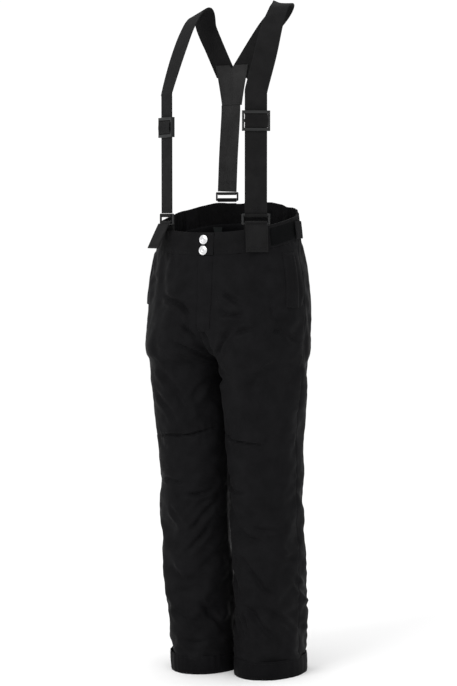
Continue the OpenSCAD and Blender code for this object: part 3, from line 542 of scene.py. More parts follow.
def cloth(name, color, rough, thread=0.55, bump=0.35, sheen=0.12, mottle=0.2):
    """Woven cloth: two crossed sets of threads, slubs, and a faint uneven tone."""
    mat, node = shader(name, color, rough, Sheen_Weight=sheen, Sheen_Roughness=0.45,
                       Specular_IOR_Level=0.05, IOR=1.3)
    place = add(mat, "ShaderNodeTexCoord")
    tone = add(mat, "ShaderNodeTexNoise", Scale=38.0, Detail=5.0, Roughness=0.6)
    slub = add(mat, "ShaderNodeTexNoise", Scale=900.0, Detail=3.0)
    soft = add(mat, "ShaderNodeTexNoise", Scale=120.0, Detail=4.0)
    for noise in (tone, slub, soft):
        link(mat, place, "Object", noise, "Vector")
    mottled(mat, node, tone, color, mottle)
    threads = add(mat, "ShaderNodeMath", operation="ADD")
    for index, axis in enumerate(("X", "Y")):
        wave = add(mat, "ShaderNodeTexWave", Scale=1000 / thread / 6.2832, Distortion=0.6,
                   Detail=1.0, Detail_Scale=2.0, bands_direction=axis)
        link(mat, place, "UV", wave, "Vector")
        link(mat, wave, "Fac", threads, index)
    total = add(mat, "ShaderNodeMath", operation="ADD")
    link(mat, threads, 0, total, 0)
    link(mat, slub, "Fac", total, 1)
    weave = add(mat, "ShaderNodeBump", Strength=bump, Distance=0.00012)
    link(mat, total, 0, weave, "Height")
    crumple = add(mat, "ShaderNodeBump", Strength=0.30, Distance=0.0012)
    link(mat, soft, "Fac", crumple, "Height")
    link(mat, weave, "Normal", crumple, "Normal")
    link(mat, crumple, "Normal", node, "Normal")
    uneven_gloss(mat, node, soft, rough - 0.07, rough + 0.09)
    return mat


def hard(name, color, rough, metal=0.0, grain=260.0, wear=0.25, **sockets):
    """Moulded plastic or lacquered metal with a fine grain and slightly rubbed tone."""
    mat, node = shader(name, color, rough, Metallic=metal, **sockets)
    place = add(mat, "ShaderNodeTexCoord")
    noise = add(mat, "ShaderNodeTexNoise", Scale=grain, Detail=6.0, Roughness=0.65)
    link(mat, place, "Object", noise, "Vector")
    mottled(mat, node, noise, color, wear)
    uneven_gloss(mat, node, noise, rough - 0.06, rough + 0.08)
    bump = add(mat, "ShaderNodeBump", Strength=0.15, Distance=0.0001)
    link(mat, noise, "Fac", bump, "Height")
    link(mat, bump, "Normal", node, "Normal")
    return mat


SHELL = cloth("shell_cloth", (0.0056, 0.0055, 0.0060), 0.58, sheen=0.011)
WAIST = cloth("waist_cloth", (0.0060, 0.0059, 0.0063), 0.60, sheen=0.013)
HEM = cloth("hem_cloth", (0.0045, 0.0044, 0.0049), 0.56, thread=0.7, sheen=0.01)
LINING_CLOTH = cloth("lining_cloth", (0.0052, 0.0052, 0.0058), 0.48, thread=0.3, bump=0.2, sheen=0.012)
FILL = cloth("wadding_fill", (0.70, 0.70, 0.68), 0.95, thread=1.6, bump=0.5, sheen=0.3)
GAITER = cloth("gaiter_cloth", (0.0050, 0.0050, 0.0055), 0.42, thread=0.35, bump=0.2, sheen=0.012)
ELASTIC = cloth("knitted_elastic", (0.012, 0.012, 0.0125), 0.75, thread=1.1, bump=0.7, sheen=0.02)
LABEL = cloth("woven_label", (0.022, 0.025, 0.025), 0.55, thread=0.25, bump=0.2, mottle=0.1)
WEBBING = cloth("brace_webbing", (0.0088, 0.0087, 0.0089), 0.66, thread=0.8, bump=0.5, sheen=0.03)
# Yoke panel and back strap: a lighter copy of the webbing. A little of the yoke's lift is its own tone;
# the rest, and all of the back strap's, is painted light on the back parts.
BACK_CLOTH_PAINTED_LIT = cloth("back_cloth_painted_lit", (0.0225, 0.0223, 0.0224), 0.66, thread=0.9, bump=0.5, sheen=0.03)
LOOP_TAPE = cloth("loop_pile", (0.0032, 0.0034, 0.0036), 0.92, thread=0.9, bump=0.9, sheen=0.015)
THREAD = cloth("sewing_thread", (0.0110, 0.0110, 0.0115), 0.5, thread=0.4, bump=0.3, sheen=0.02)
TAPE = cloth("zip_tape_cloth", (0.0070, 0.0070, 0.0075), 0.7, thread=0.5, bump=0.5, sheen=0.015)
COIL = hard("zip_coil_nylon", (0.0070, 0.0070, 0.0075), 0.35)
PLASTIC = hard("moulded_plastic", (0.0095, 0.0100, 0.0102), 0.34, Specular_IOR_Level=0.16)
LACQUER = hard("black_lacquer", (0.0105, 0.0105, 0.0110), 0.42, Specular_IOR_Level=0.2)
BRIGHT = hard("plated_snap", (0.62, 0.62, 0.63), 0.26, metal=1.0, grain=500.0, wear=0.08)


# ---------------------------------------------------------------- body of the garment
FINE_MM = 2.6
LAYER_MM = 5.5


def panel_grid(ends, step, low=0.0):
    """The turns and levels of a panel's points, about a step apart."""
    turns = np.linspace(*ends, int((ends[1] - ends[0]) * MM_PER_TURN / step) + 1)
    return np.meshgrid(turns, np.linspace(low, PANEL_TOP, int(PANEL_TOP / step) + 1))


def under_relief(side, turn, z, reach):
    """The lowest that the shell comes within this distance, so that a layer below stays below."""
    low = relief(side, turn, z)
    for dt, dz in ((-1, 0), (1, 0), (0, -1), (0, 1), (-0.7, -0.7), (0.7, -0.7), (-0.7, 0.7), (0.7, 0.7)):
        t = np.clip(turn + dt * reach / MM_PER_TURN, -1, 1)
        low = np.minimum(low, relief(side, t, np.clip(z + dz * reach, 0, seam_z(t))))
    return low


# Openings behind the zips: the fly's by distance from the middle, the pocket's by turn
POCKET_TURN = -0.17
FLY_CUT_X, FLY_CUT_Z = 18, (604, 728)
POCKET_CUT_TURN, POCKET_CUT_Z = 0.046, (645, 733)


def cut_away(side, turn, level):
    """Quads of a panel that lie where a zip is let in: the fly, and the side pockets."""
    t = (turn[:-1, :-1] + turn[1:, 1:]) / 2
    z = panel_z((level[:-1, :-1] + level[1:, 1:]) / 2, t)
    x = np.abs(skin(side, t, z)[..., 0])
    fly = (x < FLY_CUT_X) & (z > FLY_CUT_Z[0]) & (z < FLY_CUT_Z[1]) & (t < -0.5) & (side > 0)
    pocket = (np.abs(t - POCKET_TURN) < POCKET_CUT_TURN) & (z > POCKET_CUT_Z[0]) & (z < POCKET_CUT_Z[1])
    gone = fly | pocket
    gone[[0, -1]] = False
    gone[:, [0, -1]] = False
    return gone


def panel(name, side, ends, offs, step, form=relief, low=0.0):
    """A layer of cloth between two offsets from the folded surface."""
    turn, level = panel_grid(ends, step, low)
    z = panel_z(level, turn)
    below = z - 0.2 * (level > STRAIGHT_Z)
    base = skin(side, turn, below) + outward(side, turn, below) * form(side, turn, below)[..., None]
    n = outward(side, turn, z)
    uv = np.stack([turn * MM_PER_TURN, level], -1)
    return sheet_object(name, base + n * offs[0], base + n * offs[1], uv, side < 0,
                        gone=cut_away(side, turn, level))


def inner_form(side, turn, z):
    return under_relief(side, turn, z, LAYER_MM * 0.75)


# Where the lining turns over the wadding: rise above the panel's edge, and its two faces
TURN_OVER = ((0.7, -4.0, -4.9), (1.5, -3.3, -4.0), (2.0, -2.7, -3.1))
LAYER_LOW = 4.0
FOOT_SHARE = 0.9        # of the rise, where the lining turns over at the foot


def wadding_panel(name, side, ends):
    return panel(name, side, ends, WADDING, LAYER_MM, inner_form, LAYER_LOW)


def lining_panel(name, side, ends):
    """The lining, with its top and bottom edges folded outwards over the wadding."""
    turn, level = panel_grid(ends, LAYER_MM, LAYER_LOW)
    z = panel_z(level, turn)
    form = inner_form(side, turn, z)
    n = outward(side, turn, z)
    base = skin(side, turn, z) + n * form[..., None]
    faces = [base + n * off for off in LINING]

    def edge_rows(height, lift, offs):
        m = outward(side, turn[:1], height)
        edge = skin(side, turn[:1], height) + m * lift[..., None]
        return [edge + m * off for off in offs]

    for rise, *offs in TURN_OVER:
        top = edge_rows(z[-1:] + rise, form[-1:], offs)
        foot = edge_rows(np.full((1, turn.shape[1]), LAYER_LOW - rise * FOOT_SHARE), form[:1], offs)
        faces = [np.vstack(rows) for rows in zip(foot, faces, top)]
    outer, inner = faces
    uv = np.stack(np.broadcast_arrays(turn[:1] * MM_PER_TURN, outer[..., 2]), -1)
    gone = np.zeros((outer.shape[0] - 1, outer.shape[1] - 1), bool)
    extra = len(TURN_OVER)
    gone[extra:-extra] = cut_away(side, turn, level)
    return sheet_object(name, outer, inner, uv, side < 0, gone=gone)


def build_body():
    layers = (("wadding", FILL, "wadding", wadding_panel),
              ("lining", LINING_CLOTH, "lining_fabric", lining_panel))
    for word, side in SIDES.items():
        for part, ends in (("front", (-1, 0)), ("back", (0, 1))):
            shell = panel(f"{part}_shell_{word}", side, ends, (0, -SHELL_T), FINE_MM)
            finish_piece(shell, "trousers", SHELL, [f"{part}_panel_{word}"])
        for layer, material, slot, build in layers:
            for part, ends in (("front", (-0.997, -0.002)), ("back", (0.002, 0.997))):
                piece = build(f"{layer}_{part}_{word}", side, ends)
                nodes = [f"{layer}_{word}"] if part == "front" else ()
                finish_piece(piece, "trousers", material, nodes)


def ring(name, side, zs, offs, folds, step=2.4):
    """A tube of cloth round a leg, between two offsets at each height, with folds(turn, z) added."""
    count = int(2 * MM_PER_TURN / step)
    turn, z = np.meshgrid(-1 + 2 * np.arange(count) / count, zs)
    n = outward(side, np.maximum(turn, -0.999), z)
    outer, inner = (skin(side, turn, z) + n * (off[:, None] + folds(turn, z))[..., None]
                    for off in offs)
    return sheet_object(name, outer, inner, np.stack([turn * MM_PER_TURN, z], -1), side < 0, loop=True)


def pleats(turn, wave, seed):
    """Gathers that run straight up and down a leg."""
    return ripple(turn * MM_PER_TURN, turn * 0, wave, seed, count=7)


def hem_folds(side, turn):
    return 0.55 * pleats(turn, 12, 7 + side)


def build_hem(word, side):
    zs = np.concatenate([[0, 0.4, 1.2], np.linspace(2.5, HEM_H - 2.5, 14),
                         [HEM_H - 1.2, HEM_H - 0.4, HEM_H]])
    belly = np.sin(np.pi * np.clip(zs / HEM_H, 0, 1)) ** 0.6
    dips = 0.35 * (np.exp(-(zs - 4) ** 2) + np.exp(-(zs - HEM_H + 4) ** 2))
    hem = ring(f"hem_{word}", side, zs, (1.5 + belly - dips, np.full(len(zs), 0.5)),
               lambda turn, z: hem_folds(side, turn), 2.0)
    finish_piece(hem, "trousers", HEM, [f"hem_band_{word}"])


GAITER_LOW, GAITER_HIGH = 10, 150
GAITER_DRAWN_IN = 7


def build_gaiter(word, side):
    """The gaiter narrows towards its foot, where the elastic gathers it."""
    def down(z):
        return (GAITER_HIGH - z) / (GAITER_HIGH - GAITER_LOW)

    zs = np.linspace(GAITER_LOW, GAITER_HIGH, 40)
    top = LINING[1] - 2.2
    base = top - GAITER_DRAWN_IN * smooth(down(zs))
    gaiter = ring(f"gaiter_{word}", side, zs, (base, base - 0.6),
                  lambda turn, z: 1.6 * down(z) * pleats(turn, 10, 29))
    finish_piece(gaiter, "trousers", GAITER, [f"snow_gaiter_{word}"])
    zs = np.linspace(12, 32, 12)
    base = np.full(len(zs), top - GAITER_DRAWN_IN - 2.2)
    elastic = ring(f"gaiter_band_{word}", side, zs, (base, base - 1.2),
                   lambda turn, z: 0.5 * pleats(turn, 8, 29))
    finish_piece(elastic, "trousers", ELASTIC, [f"gaiter_elastic_{word}"])


# ---------------------------------------------------------------- waistband
LAP_X = (1.0, 27.0)


BAND_FACE = BAND_OUT - 0.6
BAND_BULGE = 0.9
ROW_SHARES = (0.1, 0.9)     # the two lines of stitching along the band


def band_height(turn, share):
    return seam_z(turn) * (1 - share) + waist_top(turn) * share


def band_points(side_turns, share, off, lift):
    """Grid of the band for a list of (side, turn), from the seam up to the top edge."""
    sides, turns = np.array(side_turns, float).T
    wander = 1.6 * ripple(sides * turns * MM_PER_TURN, turns * 0, 75, 12)
    z = band_height(turns, share) + share**2 * (wander - 0.8) * smooth((turns - 0.05) / 0.3)
    turn = np.broadcast_to(turns, z.shape)
    place = np.zeros(z.shape + (3,))
    n = np.zeros(z.shape + (3,))
    for side in SIDES.values():
        cols = sides == side
        place[:, cols] = skin(side, turn[:, cols], z[:, cols], off)
        n[:, cols] = outward(side, turn[:, cols], z[:, cols])
    return place + n * lift(share, sides * turn)[..., None], z


def band(name, side_turns, back_off, folds, rows=22, flip=False):
    """A stretch of waistband: a bulging outer face with stitched dips, and a flatter inner one."""
    def face(share, around):
        dips = sum(np.exp(-((share - at) / 0.03) ** 2) for at in ROW_SHARES)
        return BAND_BULGE * np.sin(np.pi * share) ** 0.5 - 0.3 * dips + folds(share, around)

    def back(share, around):
        return -0.3 * np.sin(np.pi * share) + folds(share, around)

    share = np.linspace(0, 1, rows)[:, None]
    outer, z = band_points(side_turns, share, BAND_FACE, face)
    inner, _ = band_points(side_turns, share, back_off, back)
    s = np.prod(side_turns, axis=1) * MM_PER_TURN
    uv = np.stack(np.broadcast_arrays(s[None, :], z), -1)
    piece = sheet_object(name, outer, inner, uv, flip)
    return finish_piece(piece, "trousers", WAIST)


def front_folds(share, around):
    s = around * MM_PER_TURN
    return 0.55 * ripple(s, share * 30, 34, 15) + 0.2 * ripple(s, share * 30, 12, 16)


def back_folds(share, around):
    ease = 0.55 + 0.45 * np.cos(np.pi * (share - 0.5))
    start = smooth((np.abs(around) - 0.04) / 0.12)
    wander = gathers(around + 0.01 * np.sin(share * 3.0))
    return start * (2.3 * wander * ease + 0.3 * ripple(around * MM_PER_TURN, share * 38, 14, 18))


def build_band():
    left_from = turn_at(LAP_X[1] + 0.4, 769)
    right = [(-1, t) for t in np.linspace(-1, 0.018, 92)]
    left = [(1, t) for t in np.linspace(left_from, 0.018, 82)]
    us = np.linspace(0.02, 1, 150)
    around = [(1, u) for u in us] + [(-1, u) for u in us[-2::-1]]
    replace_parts(band("waistband_right", right, BAND_IN, front_folds, flip=True), "waistband_front_right")
    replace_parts(band("waistband_left", left, BAND_IN, front_folds), "waistband_front_left")
    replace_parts(band("waistband_back_gathered", around, BAND_IN - 0.4, back_folds, 26),
                "waistband_back", "waist_elastic")


def front_surface(xs, zs, off, lift=None):
    """Grid on the front between distances from the middle, square to the garment's front."""
    x, z = np.meshgrid(xs, zs)
    turns = np.array([turn_at(xs, h) for h in zs])
    p = skin(1, turns, z, 0)
    n = outward(1, np.clip(turns, -0.995, 1), z)
    n[..., 0] = np.where(x < 0, -n[..., 0], n[..., 0])
    base = np.stack([x, p[..., 1], z], -1)
    extra = off if lift is None else off + lift(x, z)
    return base + n * np.broadcast_to(extra, x.shape)[..., None]


def rounded(a, b, n, tight=0.8):
    """Steps from a to b with extra ones close to both ends."""
    inner = np.linspace(a, b, n)
    d = math.copysign(tight, b - a)
    return np.concatenate([[a, a + 0.3 * d], inner[1:-1], [b - 0.3 * d, b]])


def flat_piece(name, xs, zs, offs, edge=1.2, lift=None, sharp=60):
    """A pressed double layer of cloth on the front, its face rolling over at the edges."""
    def face(x, z):
        near = np.minimum.reduce([x - xs[0], xs[-1] - x, z - zs[0], zs[-1] - z])
        roll = -0.75 * (1 - smooth(near / edge))
        return roll + (0 if lift is None else lift(x, z))
    outer = front_surface(xs, zs, offs[0], face)
    inner = front_surface(xs, zs, offs[1], lift)
    x, z = np.meshgrid(xs, zs)
    return sheet_object(name, outer, inner, np.stack([x, z], -1), sharp=sharp)


def lap_waves(x, z):
    return 0.25 * ripple(x, z, 20, 33)


PLACKET_X, PLACKET_Z = (0.5, 26), (602, 730)


def placket_waves(x, z):
    """The placket ripples, and sinks into the shell at its free side and its foot."""
    edge = np.minimum(PLACKET_X[1] - x, z - PLACKET_Z[0])
    sink = -1.7 * (1 - smooth(edge / 9.0))
    return 0.3 * ripple(x, z, 22, 31) + 0.12 * ripple(x, z, 9, 32) + sink


def build_front():
    lap = flat_piece("waist_lap_cloth", rounded(*LAP_X, 26), rounded(731, 769, 34),
                     (3.4, 1.5), lift=lap_waves)
    finish_piece(lap, "waist_lap", WAIST, ["waist_lap"])
    tongue = flat_piece("waist_tongue_cloth", rounded(0.4, 26.4, 20), rounded(731, 768, 26),
                        (0.9, -1.6))
    finish_piece(tongue, "trousers", WAIST, ["waist_tongue"])
    placket = flat_piece("fly_placket_cloth", rounded(*PLACKET_X, 26), rounded(*PLACKET_Z, 84),
                         (2.9, 1.9), lift=placket_waves)
    finish_piece(placket, "trousers", SHELL, ["fly_placket"])


# ---------------------------------------------------------------- snaps
SNAP_X = 9.0
SNAP_ZS = (757.0, 739.0)
CAP_OFF = 3.65


def front_y(x, z, off):
    return float(skin(1, turn_at(x, z), z, off)[1])


SNAP_TILT = math.atan((front_y(SNAP_X, SNAP_ZS[0], 0) - front_y(SNAP_X, SNAP_ZS[1], 0))
                      / (SNAP_ZS[0] - SNAP_ZS[1]))


def turned(name, profile, places, tilt, segments=64):
    """Profiles of (radius, height) turned about the axis square to the cloth at each place."""
    verts, faces = [], []
    a = np.linspace(0, 2 * np.pi, segments, endpoint=False)
    p = np.asarray(profile, float)
    turn = np.array(Matrix.Rotation(math.pi / 2 - tilt, 3, "X"))
    for place in places:
        start = len(verts) * len(p) * segments
        ringed = np.stack([p[:, :1] * np.cos(a), p[:, :1] * np.sin(a),
                           np.broadcast_to(p[:, 1:], (len(p), segments))], -1)
        verts.append(ringed.reshape(-1, 3) @ turn.T + np.asarray(place))
        faces.append(grid_quads(len(p), segments, start, True))
    return new_object(name, np.vstack(verts), np.vstack(faces), sharp=50)


def build_snaps():
    cap = [(0.05, -1.2), (2.3, -1.2), (2.3, 0), (7.3, 0), (7.8, 0.15), (8.0, 0.5), (7.95, 0.85),
           (7.6, 1.2), (7.1, 1.42), (6.5, 1.5), (6.1, 1.42), (5.85, 1.15), (5.7, 0.9), (5.5, 0.8),
           (5.2, 0.82), (4.9, 1.0), (4.5, 1.06), (3.2, 1.1), (2.6, 1.12), (2.35, 1.0), (2.2, 0.8),
           (1.9, 0.7), (1.2, 0.68), (0.05, 0.66)]
    places = [(SNAP_X, front_y(SNAP_X, z, CAP_OFF), z) for z in SNAP_ZS]
    piece = turned("snap_cap_pair", cap, places, SNAP_TILT)
    finish_piece(piece, "waist_lap", BRIGHT, ["snap_caps"])


# ---------------------------------------------------------------- ribbons of webbing
WEB_W, WEB_T = 38.0, 1.6
ROUND_ACROSS = 30


def run_length(points):
    """The distance along a line of points, at each of them."""
    return np.concatenate([[0], np.cumsum(np.linalg.norm(np.diff(points, axis=0), axis=1))])


def ribbon_frames(path, count):
    """Middle line, crosswise directions and facing directions of a ribbon through its stations."""
    rows = np.array([[*place, *cross] for place, cross in path], float)
    knots = run_length(rows[:, :3])
    t = np.linspace(0, knots[-1], count)
    step = min(1.0, knots[-1] / 40)
    p = through(knots, rows, t)
    ahead = through(knots, rows, np.minimum(t + step, knots[-1]))[:, :3]
    behind = through(knots, rows, np.maximum(t - step, 0))[:, :3]
    d = unit(ahead - behind)
    c = unit(p[:, 3:] - d * (p[:, 3:] * d).sum(-1, keepdims=True))
    return p[:, :3], c, np.cross(c, d)


def web_profile(width, thick, ribs):
    """Half section of a woven tape: a rolled edge on each side and fine ribs along it."""
    v = np.linspace(-1, 1, ROUND_ACROSS * 2 + 1)
    v = np.sign(v) * np.abs(v) ** 0.85
    inside = (np.abs(v) * width / 2 - (width / 2 - thick / 2)) / (thick / 2)
    edge = np.sqrt(np.clip(1 - inside.clip(0)**2, 0.02, 1))
    rib = 0.07 * np.cos(v * np.pi * ribs) - 0.10 * np.exp(-((np.abs(v) - 0.88) / 0.03) ** 2)
    return v * width / 2, thick / 2 * edge + rib * (edge > 0.8)


def ribbon(name, path, count, width=WEB_W, thick=WEB_T, ribs=13):
    """A tape along a path of (place, crosswise direction)."""
    middle, c, m = ribbon_frames(path, count)
    across, half = web_profile(width, thick, ribs)
    flat = middle[:, None] + c[:, None] * across[None, :, None]
    rise = m[:, None] * half[None, :, None]
    uv = np.stack(np.broadcast_arrays(across[None, :], run_length(middle)[:, None]), -1)
    return sheet_object(name, flat + rise, flat - rise, uv, sharp=60)


# ---------------------------------------------------------------- stitches
STITCH_PITCH, STITCH_L, STITCH_R = 3.3, 2.4, 0.24
STITCH_SIDES = 5


def stitches(points, normals):
    """Thread showing between one needle hole and the next, along a line on the cloth."""
    points = np.asarray(points, float)
    long = run_length(points)
    count = max(int(long[-1] / STITCH_PITCH), 1)
    mids = (np.arange(count) + 0.5) * long[-1] / count
    half, r, n = STITCH_L / 2, STITCH_R, STITCH_SIDES

    def at(values, where):
        return np.stack([np.interp(where, long, values[:, k]) for k in range(3)], -1)

    up = unit(at(np.asarray(normals, float), mids))
    ahead = unit(at(points, np.minimum(mids + half, long[-1])) - at(points, np.maximum(mids - half, 0)))
    side = unit(np.cross(ahead, up))
    centre = at(points, mids)
    sunk = up * r * 0.7
    angles = 2 * np.pi * np.arange(n) / n
    verts = [centre - ahead * half - sunk]
    verts += [centre + ahead * half * share + side * r * math.cos(a) + up * r * math.sin(a)
              for share in (-0.55, 0.55) for a in angles]
    verts.append(centre + ahead * half - sunk)
    low, high, last = 1, 1 + n, 1 + 2 * n
    faces = []
    for k in range(n):
        j = (k + 1) % n
        faces += [(0, low + j, low + k), (low + k, low + j, high + j), (low + k, high + j, high + k),
                  (last, high + k, high + j)]
    faces = np.asarray(faces)[None] + (np.arange(count) * (last + 1))[:, None, None]
    return np.stack(verts, 1).reshape(-1, 3), faces.reshape(-1, 3)


def seam(start, end, normal, count=12):
    """A straight line of stitching with one facing direction."""
    return np.linspace(start, end, count), np.tile(normal, (count, 1))


def stitch_piece(name, rows, body="trousers"):
    verts, faces, start = [], [], 0
    for points, normals in rows:
        v, f = stitches(points, normals)
        verts.append(v)
        faces.append(f + start)
        start += len(v)
    obj = new_object(name, np.vstack(verts), np.vstack(faces), sharp=80)
    return finish_piece(obj, body, THREAD)


def on_cloth(side, points, off=0.1, n=40):
    """A line of (turn, height) laid on the folded shell."""
    line = curve_through([(t * MM_PER_TURN, h) for t, h in points], n)
    turn, z = line[:, 0] / MM_PER_TURN, line[:, 1]
    normal = outward(side, turn, z)
    return skin(side, turn, z) + normal * (relief(side, turn, z) + off)[:, None], normal


def hem_line(side, z, off):
    """A line round the hem band, on its gentle waves."""
    turn = np.linspace(-0.999, 0.999, 240)
    height = np.full(240, z)
    n = outward(side, turn, height)
    return skin(side, turn, height) + n * (off + hem_folds(side, turn))[:, None], n


def band_line(side, turns, share, fold):
    """A line along the waistband at this share of its height."""
    z = band_height(turns, share)
    n = outward(side, turns, z)
    bulge = BAND_BULGE * math.sin(math.pi * share) ** 0.5
    off = BAND_FACE + bulge - 0.2 + fold(share, side * turns)
    return skin(side, turns, z) + n * off[:, None], n


def build_hem_and_waist_stitches():
    for word, side in SIDES.items():
        rows = [hem_line(side, 4.0, 2.35), hem_line(side, HEM_H - 4, 2.35)]
        stitch_piece(f"hem_stitches_{word}", rows)
        start = -0.97 if side < 0 else turn_at(LAP_X[1] + 2, 760)
        front = np.linspace(start, 0.01, 120)
        back = np.linspace(0.05, 0.99, 200)
        rows = [band_line(side, front, share, front_folds) for share in ROW_SHARES]
        rows += [band_line(side, back, share, back_folds) for share in (0.1, 0.5)]
        stitch_piece(f"waist_stitches_{word}", rows)
    (left, right), (low, high) = (LAP_X[0] + 3, LAP_X[1] - 3), (734, 766)
    corners = [(left, low), (right, low), (right, high), (left, high), (left, low)]
    rows = []
    for (x0, z0), (x1, z1) in zip(corners, corners[1:]):
        xs, zs = np.linspace(x0, x1, 12), np.linspace(z0, z1, 12)
        line = [(x, front_y(x, z, 3.5 + lap_waves(x, z)), z) for x, z in zip(xs, zs)]
        rows.append((line, np.tile([0.05, -1.0, 0.08], (12, 1))))
    stitch_piece("lap_stitches", rows, "waist_lap")


def build_body_stitches():
    for word, side in SIDES.items():
        rows = [on_cloth(side, [(-0.018, 36), (-0.018, 380), (-0.018, 700)], n=160),
                on_cloth(side, [(-0.38, 599), (-0.26, 602), (-0.12, 587), (0.01, 578)]),
                on_cloth(side, [(-0.38, 603.5), (-0.26, 606.5), (-0.12, 591.5), (0.01, 582.5)]),
                on_cloth(side, [(-0.40, 655), (-0.38, 640), (-0.30, 614)])]
        knee = CREASES[side][0][0]
        rows.append(on_cloth(side, [(t, h + 4.5) for t, h in knee]))
        if side > 0:
            fly = [(-0.905, 728), (-0.895, 695), (-0.86, 668), (-0.82, 645), (-0.80, 636)]
            rows += [on_cloth(1, fly), on_cloth(1, [(t + 0.028, h - 1.5) for t, h in fly])]
        stitch_piece(f"shell_stitches_{word}", rows)


# ---------------------------------------------------------------- braces
BRACE_X = {1: 92.0, -1: -78.0}
RING_OFF = -1.0
RING_LOW, RING_HIGH = 783.6, 798.4
RING_R = 1.9
THREAD_OFF = 0.12


def anchor(side):
    """Place, facing direction and crosswise direction of a front ring, flat on the ground plan."""
    turn = turn_at(BRACE_X[side], 775)
    p = skin(side, turn, 775, RING_OFF)
    d = skin(side, turn + 0.01, 775) - skin(side, turn - 0.01, 775)
    f = unit(np.array([d[1], -d[0], 0]) * side)
    return np.array([p[0], p[1], 0]), f, np.array([-f[1], f[0], 0])


def at_anchor(side, x, y, z):
    """From a ring's own frame, X forwards and Y across, to the row's frame."""
    place, facing, cross = anchor(side)
    return place + facing * x + cross * y + np.array([0, 0, z])


def round_bar(side, r, z, angles):
    """A ribbon's path round a ring's bar."""
    cross = anchor(side)[2]
    return [(at_anchor(side, r * math.cos(t), 0, z + r * math.sin(t)), cross) for t in angles]


YOKE_X, YOKE_Y = -29.0, 62.0 - MIDDLE_Y
YOKE_TOP, YOKE_LOW = 1060.0, 990.0
YOKE_T = 3.6


BRACE_TOP = 1157.0
ARMS = {
    1: [((95, -52, 1058), (0.79, 0.6, 0)),
        ((96, -26, 1116), (0.98, 0.2, 0)),
        ((93, 4, BRACE_TOP - 7), (1, 0, 0)),
        ((84, 36, BRACE_TOP + 1), (0.98, 0, -0.16)),
        ((66, 54, 1144), (0.85, 0, -0.5)),
        ((36, 56, 1112), (0.72, 0, -0.69))],
    -1: [((-77, -64, 1042), (0.92, -0.38, 0.1)),
         ((-78, -40, 1080), (0.93, -0.3, 0.15)),
         ((-79, -12, 1118), (0.93, -0.2, 0.3)),
         ((-79, 18, BRACE_TOP - 11), (0.9, 0, 0.42)),
         ((-78, 40, BRACE_TOP - 7), (0.9, 0.1, 0.42)),
         ((-80, 54, 1126), (0.93, 0.1, 0.36)),
         ((-66, 56, 1094), (0.9, 0, 0.42))]}
ARM_END_CROSS = {1: (0.8, 0, -0.6), -1: (0.86, 0, 0.5)}


def strap_path(side):
    cross = anchor(side)[2]
    end = (YOKE_X + side * 15, YOKE_Y + (YOKE_T + WEB_T) / 2 + 0.8, YOKE_TOP - 14)
    low = [(at_anchor(side, 0, 0, z), cross) for z in (RING_HIGH + RING_R + 0.8, 900, 998, 1004)]
    return low + ARMS[side] + [(end, ARM_END_CROSS[side])]


def build_strap(word, side):
    """A strap, and its end as a sleeve round the ring's upper bar, open at the top."""
    strap = ribbon(f"brace_webbing_{word}", strap_path(side), 300)
    finish_piece(strap, "trousers", WEBBING, [f"brace_strap_{word}"])
    sleeve = round_bar(side, RING_R + 1.3, RING_HIGH, np.linspace(0.80 * np.pi, 2.20 * np.pi, 9))
    finish_piece(ribbon(f"strap_end_{word}", sleeve, 60), f"brace_ring_{word}", WEBBING)
    front = WEB_T / 2 + THREAD_OFF
    rows = [seam(at_anchor(side, front, -17, z), at_anchor(side, front, 17, z), anchor(side)[1], 9)
            for z in (RING_HIGH + 9, RING_HIGH + 12)]
    stitch_piece(f"strap_end_stitches_{word}", rows)


FLAP_L, FLAP_T = 47.0, 1.8
FLAP_OPEN = {1: 7.0, -1: 27.0}
LOOP_R = RING_R + 1.5
TAB_WEB_T = 1.2


def build_flap(word, side):
    """The fold-over flap below the ring, its stitching, and the loop it is sewn to."""
    hinge_x, hinge_z = LOOP_R + 1.8, RING_LOW - 0.4
    a = math.radians(FLAP_OPEN[side])
    cross = anchor(side)[2]
    body = f"brace_tab_flap_{word}"

    def at(down, out, y=0.0):
        x = hinge_x + math.sin(a) * down + math.cos(a) * (out + FLAP_T / 2)
        z = hinge_z - math.cos(a) * down + math.sin(a) * (out + FLAP_T / 2)
        return at_anchor(side, x, y, z)

    path = [(at(d, 0.25 * math.sin(d / FLAP_L * math.pi)), cross) for d in np.linspace(FLAP_L, 0.6, 7)]
    flap = ribbon(f"tab_flap_cloth_{word}", path, 50, thick=FLAP_T, ribs=10)
    finish_piece(flap, body, WEBBING, [body])
    normal = unit(at(10, 1) - at(10, 0))
    top, reach = FLAP_T / 2 + 0.35, 16.2
    rows = [seam(at(3, top, y), at(FLAP_L - 3, top, y), normal) for y in (-reach, reach)]
    rows += [seam(at(d, top, -reach), at(d, top, reach), normal, 9)
             for d in (3, FLAP_L - 4.5, FLAP_L - 7.5)]
    stitch_piece(f"tab_flap_stitches_{word}", rows, body)
    r = LOOP_R + TAB_WEB_T / 2
    path = [(at_anchor(side, -r, 0, z), cross) for z in np.linspace(RING_LOW - 33.5, RING_LOW - 2, 5)]
    path += round_bar(side, r, RING_LOW, np.linspace(math.pi, 0, 9))
    loop = ribbon(f"tab_loop_cloth_{word}", path, 70, thick=TAB_WEB_T)
    finish_piece(loop, "trousers", WEBBING, [f"brace_tab_loop_{word}"])


ADJ_H, ADJ_T = 34.0, 3.0
ADJ_Z = {1: 955.0, -1: 947.0}
ADJ_IN = WEB_T / 2 + 0.3
FLAT_DEGREES, CORNER_DEGREES, SHADE_DEGREES = 2, 30, 35


